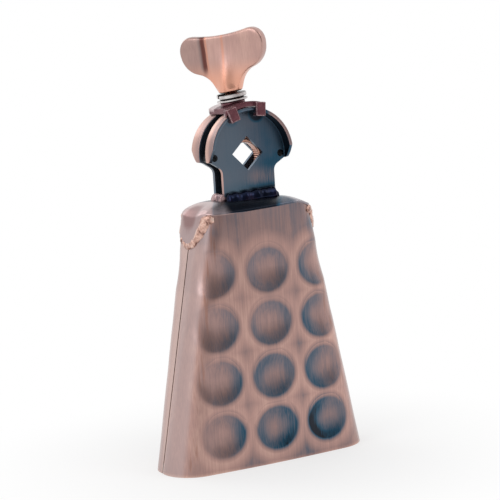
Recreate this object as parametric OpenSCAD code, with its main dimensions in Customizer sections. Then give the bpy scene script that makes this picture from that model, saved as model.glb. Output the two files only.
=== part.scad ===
// Stick-played cowbell with a self-aligning rod clamp on its crown.
// The bell stands on its mouth. +Z is up and the front face looks along -Y.

/* [Bell] */
// Height from the mouth to the front edge of the crown
bell_h = 150; // [120:1:200]
// Width of the mouth across the two side seams
mouth_w = 131; // [110:1:170]
// Depth of the mouth from front to back
mouth_d = 45; // [42:1:60]
// Width of the bell under the crown
top_w = 70; // [64:1:90]
// Depth of the bell under the crown
top_d = 41; // [38:1:50]
// Radius of the vertical bends at the mouth
mouth_bend_r = 20; // [10:0.5:21]
// Radius of the vertical bends under the crown
top_bend_r = 11; // [7:0.5:16]
// Outward bow of the front and rear faces
face_bow = 1.5; // [0.2:0.1:3]
// Thickness of the bell's sheet
sheet_t = 1.6; // [1:0.1:2.4]
// Width of the groove between the shells at each side seam
seam_gap = 1; // [0.4:0.1:2]
// Depth from the outer face to the braze in that groove
seam_recess = 0.5; // [0.2:0.1:0.8]

/* [Dimples] */
// Diameter of a dimple
dimple_d = 26; // [16:1:30]
// Depth of a dimple
dimple_depth = 1.8; // [0.5:0.1:3]
// Distance between columns of dimples
dimple_pitch_x = 34.9; // [28:0.1:38]
// Distance between rows of dimples
dimple_pitch_z = 31.2; // [27:0.1:36]
// Height of the lowest row above the mouth
dimple_first_z = 21.5; // [16:0.5:30]
// Number of rows
dimple_rows = 4; // [1:1:4]
// Number of columns
dimple_columns = 3; // [1:1:3]

/* [Crown] */
// Thickness of the crown sheet
crown_t = 1.6; // [1.2:0.1:2.4]
// Height of the crown's flat top above its front edge
crown_rise = 5; // [1:0.1:7]
// Drop of the crown at its two ends
crown_droop = 0.5; // [0.2:0.1:3]
// Radius of the crown's front and rear edges
crown_edge_r = 1; // [0.6:0.1:1.1]
// Length of the tongues that fold down over the sides
tongue_l = 19.5; // [16:0.5:28]
// Outer radius of the fold into a tongue
tongue_bend_r = 4; // [3:0.5:9]
// Clearance in the lap between a tongue and the shells
lap_gap = 0.15; // [0.05:0.05:0.4]
// Radius of the braze bead round a tongue
bead_r = 1.4; // [1:0.1:2]

/* [Bracket] */
// Height of the rod hole above the crown's flat top
hole_h = 26.7; // [26:0.1:40]
// Side of the square rod hole, which stands on its corner
hole_side = 14.3; // [11:0.1:17]
// Thickness of a bracket plate
plate_t = 2.5; // [1.5:0.1:3.5]
// Gap between the two plates
plate_gap = 8.2; // [6:0.1:12]
// Outer radius of the flanges
flange_r = 26.8; // [24:0.1:34]
// Thickness of a flange
flange_t = 2; // [1.2:0.1:2.6]
// Length that a flange stands out from its plate
flange_l = 7.2; // [6.5:0.1:11]
// Angle from the top of a flange to each of its ends
flange_reach = 98; // [92:1:104]
// Outer bend radius between a plate and its flange
flange_bend_r = 0.8; // [0.4:0.1:3]
// Length of the slanted corner at each end of a flange
flange_corner_l = 7.4; // [2:0.1:9]
// Depth of that corner from the flange's tip
flange_corner_d = 6; // [2:0.1:6.4]
// Width of the neck
neck_w = 34.2; // [28:0.1:38]
// Radius between the shoulder and the neck
neck_fillet_r = 5; // [2:0.5:6]
// Slope of the shoulder below level
shoulder_slope = 25; // [15:1:35]
// Depth of the long welds in front of and behind the plates
weld_r = 4; // [2:0.1:4.4]
// Height of the long welds up the plates
weld_h = 5.6; // [3:0.1:7]
// Radius of the short welds across the ends of the plates
end_weld_r = 2.8; // [2:0.1:4]

/* [Spacer rivets] */
// Distance from the rod hole's centre to a rivet
rivet_r = 22; // [19:0.1:22]
// Angle from a flange's end back to the rivet beside it
rivet_back = 4.4; // [3:0.1:12]
// Diameter of the rivet in the plates
rivet_d = 3.2; // [2:0.1:3.6]
// Diameter of the rivet's head
rivet_head_d = 4.2; // [3.8:0.1:4.3]
// Height of the rivet's head
rivet_head_h = 0.9; // [0.5:0.1:1.6]
// Diameter of the rivet's barrel between the plates
rivet_barrel_d = 6; // [4.2:0.1:7]

/* [Saddle] */
// Lean of the clamp to the left at rest
clamp_lean = 8; // [0:0.1:20]
// Clearance of the clamp from the bracket
clamp_gap = 0.4; // [0.3:0.05:0.8]
// Thickness of the saddle
saddle_t = 3; // [2:0.1:4]
// Angle from the clamp's axis to each side of the saddle
saddle_reach = 20.5; // [18:0.5:26]
// Depth of the bar that carries the claws
claw_bar_l = 4; // [2.5:0.1:6]
// Height of the flat seat above the saddle's curve
seat_h = 1; // [0.4:0.1:2]
// Diameter of that seat
seat_d = 14.4; // [14:0.1:19]
// Width of a claw
claw_w = 6.2; // [5:0.1:8]
// Thickness of a claw
claw_t = 2; // [1.4:0.1:3]
// Angle from the clamp's axis to a claw
claw_angle = 19.6; // [18:0.1:24]
// Angle at which a claw hangs, from the clamp's axis
claw_splay = 12; // [8:0.1:18]
// Length of a claw's toe under the flange
toe_l = 3; // [2:0.1:4]

/* [Eye bolt] */
// Diameter of the eye's bore
eye_bore_d = 17.4; // [15:0.1:18]
// Radial width of the eye's ring
eye_ring_w = 3.3; // [2.6:0.1:4]
// Depth of the eye's centre below the rod hole's centre at rest
eye_drop = 2.4; // [0:0.1:4]
// Clearance from the eye to each plate
eye_gap = 0.5; // [0.3:0.1:0.8]
// Rounding of the eye's outer edges
eye_round = 1.8; // [0.5:0.1:2.2]
// Diameter of the threaded shank
shank_d = 8; // [6:0.1:9]
// Length of shank that stands in the wing nut at rest
shank_in_nut = 7.2; // [5:0.1:10]
// Chamfer at the shank's end
shank_chamfer = 0.8; // [0.3:0.1:1.2]
// Radial clearance of the shank in the saddle and washers
shank_gap = 0.4; // [0.3:0.05:0.8]
// Radial clearance of the thread in the wing nut
thread_gap = 0.05; // [0.02:0.01:0.1]

/* [Washers] */
// Outer diameter of the flat washer
washer_d = 17.8; // [15:0.1:19]
// Thickness of the flat washer
washer_t = 1.8; // [1:0.1:2.4]
// Outer diameter of the lock washer
lock_d = 16.6; // [14:0.1:17]
// Thickness of the lock washer
lock_t = 3.2; // [1.6:0.1:3.6]
// Width of the split in the lock washer
lock_split = 1.4; // [0.6:0.1:2.4]
// Clearance between the lock washer and the wing nut
nut_gap = 0.4; // [0.3:0.05:0.6]

/* [Wing nut] */
// Turn of the wing about the clamp's axis
wing_turn = 57; // [0:1:180]
// Diameter of the hub at its foot
hub_d = 15; // [13.5:0.1:18]
// Diameter of the hub where the wing begins
hub_top_d = 14.4; // [12:0.1:16]
// Height of the hub up to its taper
hub_h = 10; // [8:0.5:12]
// Height of the taper in which the hub runs out into the wing
hub_taper_h = 14; // [12:0.5:18]
// Depth of the threaded hole
nut_bore_l = 14.2; // [14:0.1:16]
// Width of the wing over its two lobes
wing_w = 55.6; // [50:0.1:66]
// Height of the lobes' widest point above the hub's foot
lobe_h = 25.4; // [24:0.1:30]
// Radius of a lobe above its widest point
lobe_top_r = 8; // [6:0.1:10]
// Length of the straight between the two radii
lobe_side_l = 1.7; // [0.2:0.1:3]
// Radius of a lobe below its widest point
lobe_low_r = 13.4; // [11.5:0.1:14]
// Radius between the hub and a lobe
wing_fillet_r = 14.6; // [11:0.1:16]
// Height of the wing's foot above the hub's foot
wing_foot_h = 1; // [0.5:0.1:3]
// Depth of the hollow between the lobes
wing_dip = 1.7; // [1:0.1:4]
// Thickness of the wing
wing_t = 6; // [4:0.1:8]
// Rounding of the wing's edges
wing_round = 1.8; // [0.6:0.1:1.9]

/* [Hidden] */
$fn = 64;

// Fineness of the pressed sheets
side_steps = 3;
bend_steps = 9;
face_steps = 18;
height_steps = 26;

// Heights and radii worked out from the sizes above
flat_z = bell_h + crown_rise;
hole_z = flat_z + hole_h;
plate_back = plate_gap / 2;
plate_face = plate_back + plate_t;
flange_tip = plate_face + flange_l;
weld_margin = weld_r + 1.6;
saddle_r = flange_r + clamp_gap;
seat_z = saddle_r + saddle_t + seat_h;
washer_z = seat_z + washer_t;
lock_z = washer_z + lock_t;
nut_z = lock_z + nut_gap;
shank_end = nut_z + shank_in_nut;
shank_hole_r = shank_d / 2 + shank_gap;
claw_face = flange_tip + clamp_gap;
eye_l = plate_gap - 2 * eye_gap;
eye_r = eye_bore_d / 2 + eye_ring_w;
eye_top = eye_r - eye_drop;
rivet_x = rivet_r * sin(flange_reach - rivet_back);
rivet_z = hole_z + rivet_r * cos(flange_reach - rivet_back);

function mix(a, b, t) = a + (b - a) * t;
function unit(v) = v / norm(v);
function flip_x(p) = [-p[0], p[1], p[2]];
function flip_y(p) = [p[0], -p[1], p[2]];

// Half sizes of the bell's outer section at height z
function half_w(z) = mix(mouth_w, top_w, z / bell_h) / 2;
function half_d(z) = mix(mouth_d, top_d, z / bell_h) / 2;
function bend_r(z) = mix(mouth_bend_r, top_bend_r, z / bell_h);

// Stations along the front half of a section, from the left seam to the right one:
// 0 to 1 is the left side, 1 to 2 its bend, 2 to 4 the face, then the same on the right
stations = concat(
    [for (k = [0 : side_steps - 1]) k / side_steps],
    [for (k = [0 : bend_steps - 1]) 1 + k / bend_steps],
    [for (k = [0 : face_steps - 1]) 2 + 2 * k / face_steps],
    [for (k = [0 : bend_steps - 1]) 4 + k / bend_steps],
    [for (k = [0 : side_steps]) 5 + k / side_steps]
);

// Point of the front half's outer section at a station, moved in by inset
function section(u, z, inset = 0) =
    u > 3 ? let (p = section(6 - u, z, inset)) [-p[0], p[1]] :
    let (w = half_w(z) - inset, d = half_d(z) - inset, r = bend_r(z) - inset)
    u < 1 ? [-w, -mix(seam_gap / 2, d - r, u)] :
    u < 2 ? let (a = 90 * (u - 1)) [-(w - r) - r * cos(a), -(d - r) - r * sin(a)] :
    [(w - r) * (u - 3), -d - face_bow * (1 - (u - 3) * (u - 3))];

// Outward direction of that section
function outward(u) =
    u > 3 ? let (n = outward(6 - u)) [-n[0], n[1]] :
    u < 1 ? [-1, 0] :
    u < 2 ? let (a = 90 * (u - 1)) [-cos(a), -sin(a)] : [0, -1];

// Depth of the dimples at a point of the face
function dimple_at(x, z, column, row) =
    let (
        dx = x - (column - (dimple_columns - 1) / 2) * dimple_pitch_x,
        dz = z - dimple_first_z - row * dimple_pitch_z,
        q = (dx * dx + dz * dz) * 4 / (dimple_d * dimple_d)
    )
    q < 1 ? dimple_depth * (1 - q) : 0;
function dent(x, z) = max([
    for (column = [0 : dimple_columns - 1])
        for (row = [0 : dimple_rows - 1]) dimple_at(x, z, column, row)
]);

// Share of the way from the side seam (0) to the start of the face (1), at the crown
function seam_share(u) =
    let (
        flat = half_d(bell_h) - bend_r(bell_h),
        arc = bend_r(bell_h) * PI / 2,
        v = u > 3 ? 6 - u : u
    )
    v < 1 ? v * flat / (flat + arc) : v < 2 ? (flat + (v - 1) * arc) / (flat + arc) : 1;

// A tongue ends a third of the way round the bend; there its share is tongue_end
tongue_station = 1 + round(bend_steps / 3) / bend_steps;
tongue_end = seam_share(tongue_station);
function tongue_share(u) = min(1, seam_share(u) / tongue_end);

// Skirt, fold radius, drop and outward offset of the crown sheet at a station
function skirt(u) = mix(crown_t, tongue_l, sqrt(1 - pow(tongue_share(u), 2)));
function fold_r(u) = mix(tongue_bend_r, crown_edge_r, pow(tongue_share(u), 2));
function droop(u) = crown_droop * (1 - pow(tongue_share(u), 2));
function fold_z(u) = bell_h - droop(u) - fold_r(u);
function lap(u) = (crown_t + lap_gap) * min(1, (1 - seam_share(u)) / (1 - tongue_end));

// Top edge of the shells, which stays under the fold of the crown
function shell_top(u) = min(bell_h - crown_t, fold_z(u));

// One pressed shell: outer points of a level, then the inner ones backwards
function shell_point(u, level, inset) =
    let (
        z = shell_top(u) * level / height_steps,
        outer = section(u, z),
        p = section(u, z, inset)
    )
    [p[0], p[1] + (u == 0 || u == 6 ? 0 : dent(outer[0], z)), z];
function shell_level(level) = concat(
    [for (u = stations) shell_point(u, level, 0)],
    [for (k = [len(stations) - 1 : -1 : 0]) shell_point(stations[k], level, sheet_t)]
);

// Triangles between two closed rows of points that start at a and b
function band(a, b, n) = [
    for (j = [0 : n - 1])
        for (t = [[a + j, a + (j + 1) % n, b + (j + 1) % n], [a + j, b + (j + 1) % n, b + j]]) t
];
function backwards(face) = [for (k = [len(face) - 1 : -1 : 0]) face[k]];

module shell() {
    n = 2 * len(stations);
    last = height_steps * n;
    rim = [
        for (j = [0 : len(stations) - 2])
            for (t = [[j, n - 2 - j, j + 1], [j, n - 1 - j, n - 2 - j]]) t
    ];
    faces = concat(
        [for (level = [0 : height_steps - 1]) each band(level * n, (level + 1) * n, n)],
        rim,
        [for (t = rim) backwards(t) + [last, last, last]]
    );
    polyhedron([for (level = [0 : height_steps]) each shell_level(level)], [for (f = faces) backwards(f)]);
}

module front_shell() {
    color("rosybrown") shell();
}

module rear_shell() {
    color("rosybrown") rotate([0, 0, 180]) shell();
}

// Crown sheet: each station has an outer profile from the skirt's edge up to the flat top,
// and an inner one under it
fold_angles = [20, 40, 57];
dome_steps = [1 / 3, 2 / 3, 1];
flat_half_w = neck_w / 2 + weld_margin + 2;
flat_half_d = plate_face + weld_margin;
function flat_point(u) =
    let (p = section(u, bell_h))
    [p[0] * flat_half_w / half_w(bell_h), p[1] * flat_half_d / half_d(bell_h)];
function crown_profile(u, inset) =
    let (
        off = lap(u) - inset,
        r = inset > 0 ? max(fold_r(u) - inset, crown_edge_r / 4) : fold_r(u),
        n = outward(u),
        foot = section(u, bell_h - skirt(u)) + n * off,
        fold = section(u, fold_z(u)) + n * off,
        turn = fold_angles[len(fold_angles) - 1],
        shoulder = fold - n * r * (1 - cos(turn)),
        shoulder_z = fold_z(u) + r * sin(turn),
        middle = flat_point(u)
    )
    concat(
        [[foot[0], foot[1], bell_h - skirt(u)], [fold[0], fold[1], fold_z(u)]],
        [for (a = fold_angles) let (p = fold - n * r * (1 - cos(a))) [p[0], p[1], fold_z(u) + r * sin(a)]],
        [
            for (f = dome_steps)
                let (p = mix(shoulder, middle, f))
                [p[0], p[1], mix(shoulder_z, flat_z - inset, sin(90 * f))]
        ]
    );
function crown_rows(inset) =
    let (
        front = [for (u = stations) crown_profile(u, inset)],
        rear = [for (k = [len(stations) - 1 : -1 : 0]) [for (p = front[k]) flip_y(p)]],
        all = concat(front, rear)
    )
    [for (i = [0 : len(front[0]) - 1]) [for (profile = all) profile[i]]];

module crown_cap() {
    outer = crown_rows(0);
    inner = crown_rows(crown_t);
    rows = concat(outer, backwards(inner));
    n = len(outer[0]);
    m = len(outer);
    faces = concat(
        [for (i = [0 : 2 * m - 1]) each i == m - 1 ? [] : band(i * n, ((i + 1) % (2 * m)) * n, n)],
        [[for (j = [0 : n - 1]) (m - 1) * n + j]],
        [[for (j = [n - 1 : -1 : 0]) m * n + j]]
    );
    color("rosybrown") polyhedron([for (row = rows) each row], [for (f = faces) backwards(f)]);
}

// Braze in the groove of the left seam, between the flat edges of the shells
module seam_braze() {
    top = shell_top(0);
    corners = [
        for (z = [0, top])
            for (c = [[seam_recess, -1], [seam_recess, 1], [sheet_t, 1], [sheet_t, -1]])
                [c[0] - half_w(z), c[1] * seam_gap / 2, z]
    ];
    polyhedron(corners, [[3, 2, 1, 0], [4, 5, 6, 7], [1, 5, 4, 0], [2, 6, 5, 1], [3, 7, 6, 2], [0, 4, 7, 3]]);
}

module left_seam_braze() {
    color("dimgray") seam_braze();
}

module right_seam_braze() {
    color("dimgray") mirror([1, 0, 0]) seam_braze();
}

// Lumpy bead along a path; out gives the direction away from the work at each point
bead_sides = 8;
function lump(k) = 1 + 0.16 * sin(97 * k) + 0.1 * sin(211 * k);
module bead(path, out, r) {
    last = len(path) - 1;
    points = [
        for (k = [0 : last])
            let (
                along = unit(path[min(k + 1, last)] - path[max(k - 1, 0)]),
                across = unit(cross(along, out[k])),
                away = cross(across, along),
                size = r * lump(k) * (k == 0 || k == last ? 0.5 : 1)
            )
            for (s = [0 : bead_sides - 1])
                let (a = 360 * s / bead_sides) path[k] + size * (cos(a) * across + sin(a) * away)
    ];
    faces = concat(
        [for (k = [0 : last - 1]) each band(k * bead_sides, (k + 1) * bead_sides, bead_sides)],
        [[for (s = [bead_sides - 1 : -1 : 0]) s]],
        [[for (s = [0 : bead_sides - 1]) last * bead_sides + s]]
    );
    polyhedron(points, faces);
}

// Edge of the left tongue, from its front end round the tip to its rear end
bead_steps = 12;
function tongue_edge(u) =
    let (z = bell_h - skirt(u), p = section(u, z) + outward(u) * lap(u) / 2) [p[0], p[1], z];
edge_stations = [for (k = [0 : bead_steps]) tongue_station * (1 - k / bead_steps)];
edge_front = [for (u = edge_stations) tongue_edge(u)];
edge_out = [for (u = edge_stations) let (n = outward(u)) [n[0], n[1], -0.3]];
tongue_path = concat(edge_front, [for (k = [bead_steps - 1 : -1 : 0]) flip_y(edge_front[k])]);
tongue_out = concat(edge_out, [for (k = [bead_steps - 1 : -1 : 0]) flip_y(edge_out[k])]);

module left_crown_bead() {
    color("burlywood") difference() {
        bead(tongue_path, tongue_out, bead_r);
        crown_cap();
        front_shell();
        rear_shell();
        left_seam_braze();
    }
}

module right_crown_bead() {
    color("burlywood") difference() {
        mirror([1, 0, 0]) bead(tongue_path, tongue_out, bead_r);
        crown_cap();
        front_shell();
        rear_shell();
        right_seam_braze();
    }
}

// Bracket plate in the plane of the rod hole, seen from the front.
// Its outline lies within the flange's thickness from lead to end
module plate_blank() {
    edge = flange_r * [sin(flange_reach), cos(flange_reach)];
    lead = (flange_r - flange_t / 2) * [sin(flange_reach - 6), cos(flange_reach - 6)];
    end = edge - flange_t / 2 * [1, tan(shoulder_slope)];
    neck = neck_w / 2;
    turn = 90 - shoulder_slope;
    meet_x = neck + neck_fillet_r * (1 - cos(turn));
    meet_y = end[1] - (end[0] - meet_x) * tan(shoulder_slope);
    fillet_y = meet_y - neck_fillet_r * sin(turn);
    fillet = [
        for (k = [0 : 6])
            let (a = turn * (1 - k / 6))
            [neck + neck_fillet_r * (1 - cos(a)), fillet_y + neck_fillet_r * sin(a)]
    ];
    right = concat([lead, end], fillet, [[neck, -hole_h]]);
    polygon(concat([[0, 0]], right, [for (k = [len(right) - 1 : -1 : 0]) [-right[k][0], right[k][1]]]));
}

// Section of the flange: radius across, distance from the plate's back up
module flange_section() {
    root = flange_r - flange_bend_r;
    inside = flange_r - flange_t;
    tip = plate_t + flange_l;
    base = min(root, inside) - 1;
    bend = [
        for (k = [0 : 6])
            let (a = 15 * k) [root + flange_bend_r * sin(a), flange_bend_r * (1 - cos(a))]
    ];
    polygon(concat(bend, [[flange_r, tip], [inside, tip], [inside, plate_t], [base, plate_t], [base, 0]]));
}

// What is cut from the corner of a flange at its end: along the flange across, depth up.
// The slant runs on a tenth of its length past the tip and the end
module flange_corner() {
    tip = plate_t + flange_l;
    past = 0.1 * [flange_corner_l, flange_corner_d];
    translate([flange_r - 2 * flange_t, 0, 0]) rotate([90, 0, 90]) linear_extrude(4 * flange_t) polygon([
        [flange_corner_l, tip] + past, [0, tip - flange_corner_d] - past,
        [-past[0], 2 * tip], [flange_corner_l + past[0], 2 * tip]
    ]);
}

// Plate at the front: its back lies half the gap in front of the middle
module bracket_plate() {
    root = flange_r - flange_bend_r;
    translate([0, -plate_back, hole_z]) rotate([90, 0, 0]) difference() {
        union() {
            linear_extrude(plate_t) plate_blank();
            intersection() {
                cylinder(r = root, h = plate_t);
                translate([-root, flange_r * cos(flange_reach) * 0.85, 0]) cube([2 * root, 2 * root, plate_t]);
            }
            rotate([0, 0, 90 - flange_reach]) rotate_extrude(angle = 2 * flange_reach) flange_section();
        }
        for (side = [0, 1]) mirror([side, 0, 0]) rotate([0, 0, 90 - flange_reach]) flange_corner();
        rotate([0, 0, 45]) cube([hole_side, hole_side, 4 * plate_t], center = true);
        for (side = [-1, 1])
            translate([side * rivet_x, rivet_z - hole_z, -plate_t]) cylinder(d = rivet_d, h = 3 * plate_t);
    }
}

module bracket_front_plate() {
    color("darkslategray") bracket_plate();
}

module bracket_rear_plate() {
    color("darkslategray") mirror([0, 1, 0]) bracket_plate();
}

// Welds at the foot of the plates, cut flat where they meet the plates and the crown
weld_steps = 10;
module foot_block(x, y) {
    translate([-x, -y, flat_z - 2 * weld_h]) cube([2 * x, 2 * y, 2 * weld_h]);
}
module neck_foot() {
    for (side = [-1, 1])
        translate([-neck_w / 2, side * (plate_back + plate_t / 2) - plate_t / 2, flat_z])
            cube([neck_w, plate_t, 3 * weld_h]);
}

module long_weld() {
    reach = neck_w / 2 - 1;
    path = [for (k = [0 : weld_steps]) [mix(-reach, reach, k / weld_steps), -plate_face - weld_r / 4, flat_z]];
    difference() {
        translate([0, 0, flat_z]) scale([1, 1, weld_h / weld_r]) translate([0, 0, -flat_z])
            bead(path, [for (p = path) [0, -1, 0.6]], weld_r);
        foot_block(neck_w, 2 * flange_tip);
        translate([-neck_w, -plate_face, flat_z - weld_h]) cube([2 * neck_w, plate_face * 2, 4 * weld_h]);
    }
}

module short_weld() {
    x = -neck_w / 2 - end_weld_r / 4;
    path = [for (k = [0 : weld_steps]) [x, mix(-plate_face, plate_face, k / weld_steps), flat_z]];
    difference() {
        bead(path, [for (p = path) [-1, 0, 0.6]], end_weld_r);
        foot_block(neck_w, 2 * flange_tip);
        neck_foot();
        long_weld();
        mirror([0, 1, 0]) long_weld();
    }
}

module front_foot_weld() {
    color("midnightblue") long_weld();
}

module rear_foot_weld() {
    color("midnightblue") mirror([0, 1, 0]) long_weld();
}

module left_foot_weld() {
    color("midnightblue") short_weld();
}

module right_foot_weld() {
    color("midnightblue") mirror([1, 0, 0]) short_weld();
}

// Rivet with a barrel that keeps the plates apart and a head on each plate
module spacer_rivet() {
    head_r = rivet_head_d / 2;
    head_arc = [
        for (k = [0 : 4])
            let (a = 22.5 * k) [head_r * cos(a), plate_face + rivet_head_h * sin(a)]
    ];
    half = concat(
        [[0, 0], [rivet_barrel_d / 2, 0], [rivet_barrel_d / 2, plate_back], [rivet_d / 2, plate_back]],
        [[rivet_d / 2, plate_face]], head_arc
    );
    translate([0, 0, rivet_z]) rotate([90, 0, 0]) {
        rotate_extrude() polygon(half);
        mirror([0, 0, 1]) rotate_extrude() polygon(half);
    }
}

module left_spacer_rivet() {
    color("black") translate([-rivet_x, 0, 0]) spacer_rivet();
}

module right_spacer_rivet() {
    color("black") translate([rivet_x, 0, 0]) spacer_rivet();
}

// The clamp stands on the rod hole's axis and leans to the left
module on_clamp() {
    translate([0, 0, hole_z]) rotate([0, -clamp_lean, 0]) children();
}

// Claw: a hook bent down over the flange's tip and in under it, seen from its side
module claw() {
    askew = claw_w / 2 * sin(claw_angle - claw_splay);
    toe_top = sqrt(pow(flange_r - flange_t, 2) - pow(claw_w / 2, 2)) - clamp_gap - askew;
    toe_low = toe_top - claw_t;
    root_low = saddle_r + saddle_t * 0.2;
    root_top = saddle_r + saddle_t * 0.9;
    front = -claw_face - claw_t;
    translate([claw_w / 2, 0, 0]) rotate([90, 0, -90]) linear_extrude(claw_w) polygon([
        for (p = [
            [front, toe_low], [front + claw_t + toe_l, toe_low], [front + claw_t + toe_l, toe_top],
            [-claw_face, toe_top], [-claw_face, root_low], [-claw_face + claw_t, root_low],
            [-claw_face + claw_t, root_top], [front, root_top]
        ]) [-p[0], p[1]]
    ]);
}

module clamp_saddle() {
    claw_reach = claw_angle + asin(claw_w / 2 / (saddle_r + saddle_t));
    claw_pivot = saddle_r + saddle_t / 2;
    color("rosybrown") on_clamp() difference() {
        union() {
            rotate([90, 0, 0])
                rotate([0, 0, 90 - claw_reach])
                    rotate_extrude(angle = 2 * claw_reach)
                        translate([saddle_r, -claw_face]) square([saddle_t, 2 * claw_face]);
            translate([0, 0, saddle_r + saddle_t / 2]) cylinder(d = seat_d, h = saddle_t / 2 + seat_h);
            for (side = [-1, 1])
                translate([side * claw_pivot * sin(claw_angle), 0, claw_pivot * cos(claw_angle)])
                    rotate([0, side * claw_splay, 0]) translate([0, 0, -claw_pivot]) claw();
        }
        for (side = [-1, 1])
            rotate([0, side * saddle_reach, 0])
                translate([side * claw_face - claw_face, claw_bar_l - claw_face, 0])
                    cube([2 * claw_face, 2 * claw_face, 2 * seat_z]);
        cylinder(r = shank_hole_r, h = 2 * seat_z);
    }
}

module eye_bolt() {
    half_l = eye_l / 2;
    corner = [
        for (k = [0 : 4])
            let (a = 22.5 * k)
            [eye_r - eye_round * (1 - cos(a)), half_l - eye_round * (1 - sin(a))]
    ];
    color("peru") on_clamp() difference() {
        union() {
            translate([0, 0, -eye_drop]) rotate([90, 0, 0]) rotate_extrude() polygon(concat(
                [[eye_bore_d / 2, -half_l]],
                [for (k = [4 : -1 : 0]) [corner[k][0], -corner[k][1]]],
                corner,
                [[eye_bore_d / 2, half_l]]
            ));
            intersection() {
                cylinder(d = shank_d, h = shank_end - shank_chamfer);
                translate([-shank_d, -half_l, 0]) cube([2 * shank_d, eye_l, shank_end]);
            }
            translate([0, 0, eye_top]) cylinder(d = shank_d, h = shank_end - shank_chamfer - eye_top);
            translate([0, 0, shank_end - shank_chamfer])
                cylinder(d1 = shank_d, d2 = shank_d - 2 * shank_chamfer, h = shank_chamfer);
        }
        translate([0, 0, -eye_drop]) rotate([90, 0, 0]) cylinder(d = eye_bore_d, h = 2 * eye_l, center = true);
    }
}

module flat_washer() {
    color("gainsboro") on_clamp() translate([0, 0, seat_z]) difference() {
        cylinder(d = washer_d, h = washer_t);
        translate([0, 0, -washer_t]) cylinder(r = shank_hole_r, h = 3 * washer_t);
    }
}

module lock_washer() {
    color("gainsboro") on_clamp() translate([0, 0, washer_z]) difference() {
        cylinder(d = lock_d, h = lock_t);
        translate([0, 0, -lock_t]) cylinder(r = shank_hole_r, h = 3 * lock_t);
        rotate([25, 0, 0]) translate([-lock_d, -lock_split / 2, -2 * lock_t])
            cube([lock_d, lock_split, 6 * lock_t]);
    }
}

// Right half of the wing's outline, moved in by inset: hub side, fillet, lobe, hollow
outline_steps = 8;
function arc_points(c, r, from, to) = [
    for (k = [0 : outline_steps])
        let (a = mix(from, to, k / outline_steps)) c + r * [cos(a), sin(a)]
];
function wing_half(inset) =
    let (
        neck = hub_top_d / 2,
        upper = [wing_w / 2 - lobe_top_r, lobe_h + lobe_side_l],
        lower = [wing_w / 2 - lobe_low_r, lobe_h],
        fillet_x = neck + wing_fillet_r,
        fillet_drop = sqrt(pow(lobe_low_r + wing_fillet_r, 2) - pow(lower[0] - fillet_x, 2)),
        fillet = [fillet_x, lobe_h - fillet_drop],
        dip_r = (pow(upper[0], 2) + pow(wing_dip, 2)) / (2 * wing_dip) - lobe_top_r,
        dip = [0, upper[1] + lobe_top_r - wing_dip + dip_r],
        foot_rise = max(0, wing_foot_h - fillet[1]) / (wing_fillet_r + inset),
        to_fillet = atan2(fillet[1] - lobe_h, fillet[0] - lower[0]),
        to_dip = atan2(dip[1] - upper[1], dip[0] - upper[0])
    )
    concat(
        arc_points(fillet, wing_fillet_r + inset, 180 - asin(foot_rise), to_fillet + 180),
        arc_points(lower, lobe_low_r - inset, to_fillet, 0),
        arc_points(upper, lobe_top_r - inset, 0, to_dip),
        arc_points(dip, dip_r + inset, to_dip - 180, -90)
    );

module wing_layer(inset, t) {
    half = wing_half(inset);
    foot = [[0, half[0][1]]];
    rotate([90, 0, 0]) translate([0, 0, -t / 2]) linear_extrude(t)
        polygon(concat(foot, half, [for (k = [len(half) - 2 : -1 : 0]) [-half[k][0], half[k][1]]]));
}

module wing_nut() {
    color("rosybrown") on_clamp() translate([0, 0, nut_z]) difference() {
        rotate([0, 0, -wing_turn]) union() {
            for (k = [0 : 3])
                let (a = 30 * k)
                wing_layer(wing_round * (1 - cos(a)), wing_t - 2 * wing_round * (1 - sin(a)));
            cylinder(d1 = hub_d, d2 = hub_top_d, h = hub_h);
            translate([0, 0, hub_h]) cylinder(d1 = hub_top_d, d2 = wing_t, h = hub_taper_h);
        }
        translate([0, 0, -1]) cylinder(r = shank_d / 2 + thread_gap, h = nut_bore_l + 1);
    }
}

front_shell();
rear_shell();
crown_cap();
left_seam_braze();
right_seam_braze();
left_crown_bead();
right_crown_bead();
bracket_front_plate();
bracket_rear_plate();
front_foot_weld();
rear_foot_weld();
left_foot_weld();
right_foot_weld();
left_spacer_rivet();
right_spacer_rivet();
clamp_saddle();
eye_bolt();
flat_washer();
lock_washer();
wing_nut();
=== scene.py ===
from math import asin, atan2, cos, degrees, exp, pi, radians, sin, sqrt

import bmesh
import bpy
from bl_math import clamp, lerp, smoothstep
from mathutils import Matrix, Quaternion, Vector, noise
from numpy import interp


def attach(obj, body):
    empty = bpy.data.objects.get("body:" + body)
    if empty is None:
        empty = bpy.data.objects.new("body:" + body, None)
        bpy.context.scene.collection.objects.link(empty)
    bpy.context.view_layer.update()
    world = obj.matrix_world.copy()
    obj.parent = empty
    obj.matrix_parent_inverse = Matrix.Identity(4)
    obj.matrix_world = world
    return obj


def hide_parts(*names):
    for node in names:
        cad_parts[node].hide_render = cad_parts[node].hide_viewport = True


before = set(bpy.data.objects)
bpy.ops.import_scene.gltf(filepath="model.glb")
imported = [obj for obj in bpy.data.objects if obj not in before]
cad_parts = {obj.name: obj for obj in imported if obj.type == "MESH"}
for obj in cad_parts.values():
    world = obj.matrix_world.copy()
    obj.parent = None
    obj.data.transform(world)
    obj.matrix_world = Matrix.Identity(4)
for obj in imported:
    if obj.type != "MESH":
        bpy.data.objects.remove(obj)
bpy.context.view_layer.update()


# Studio: a camera at the photograph's place, a pale floor that turns white away from the bell,
# three soft boxes, and a white surround that is dim on the camera's side, where the metal mirrors it.
mm = 0.001
scene = bpy.context.scene
scene.view_settings.view_transform = "Standard"


def way(turn, rise):
    """Direction from the bell, turned left from its front and raised."""
    return Vector((-sin(turn) * cos(rise), -cos(turn) * cos(rise), sin(rise)))


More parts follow.
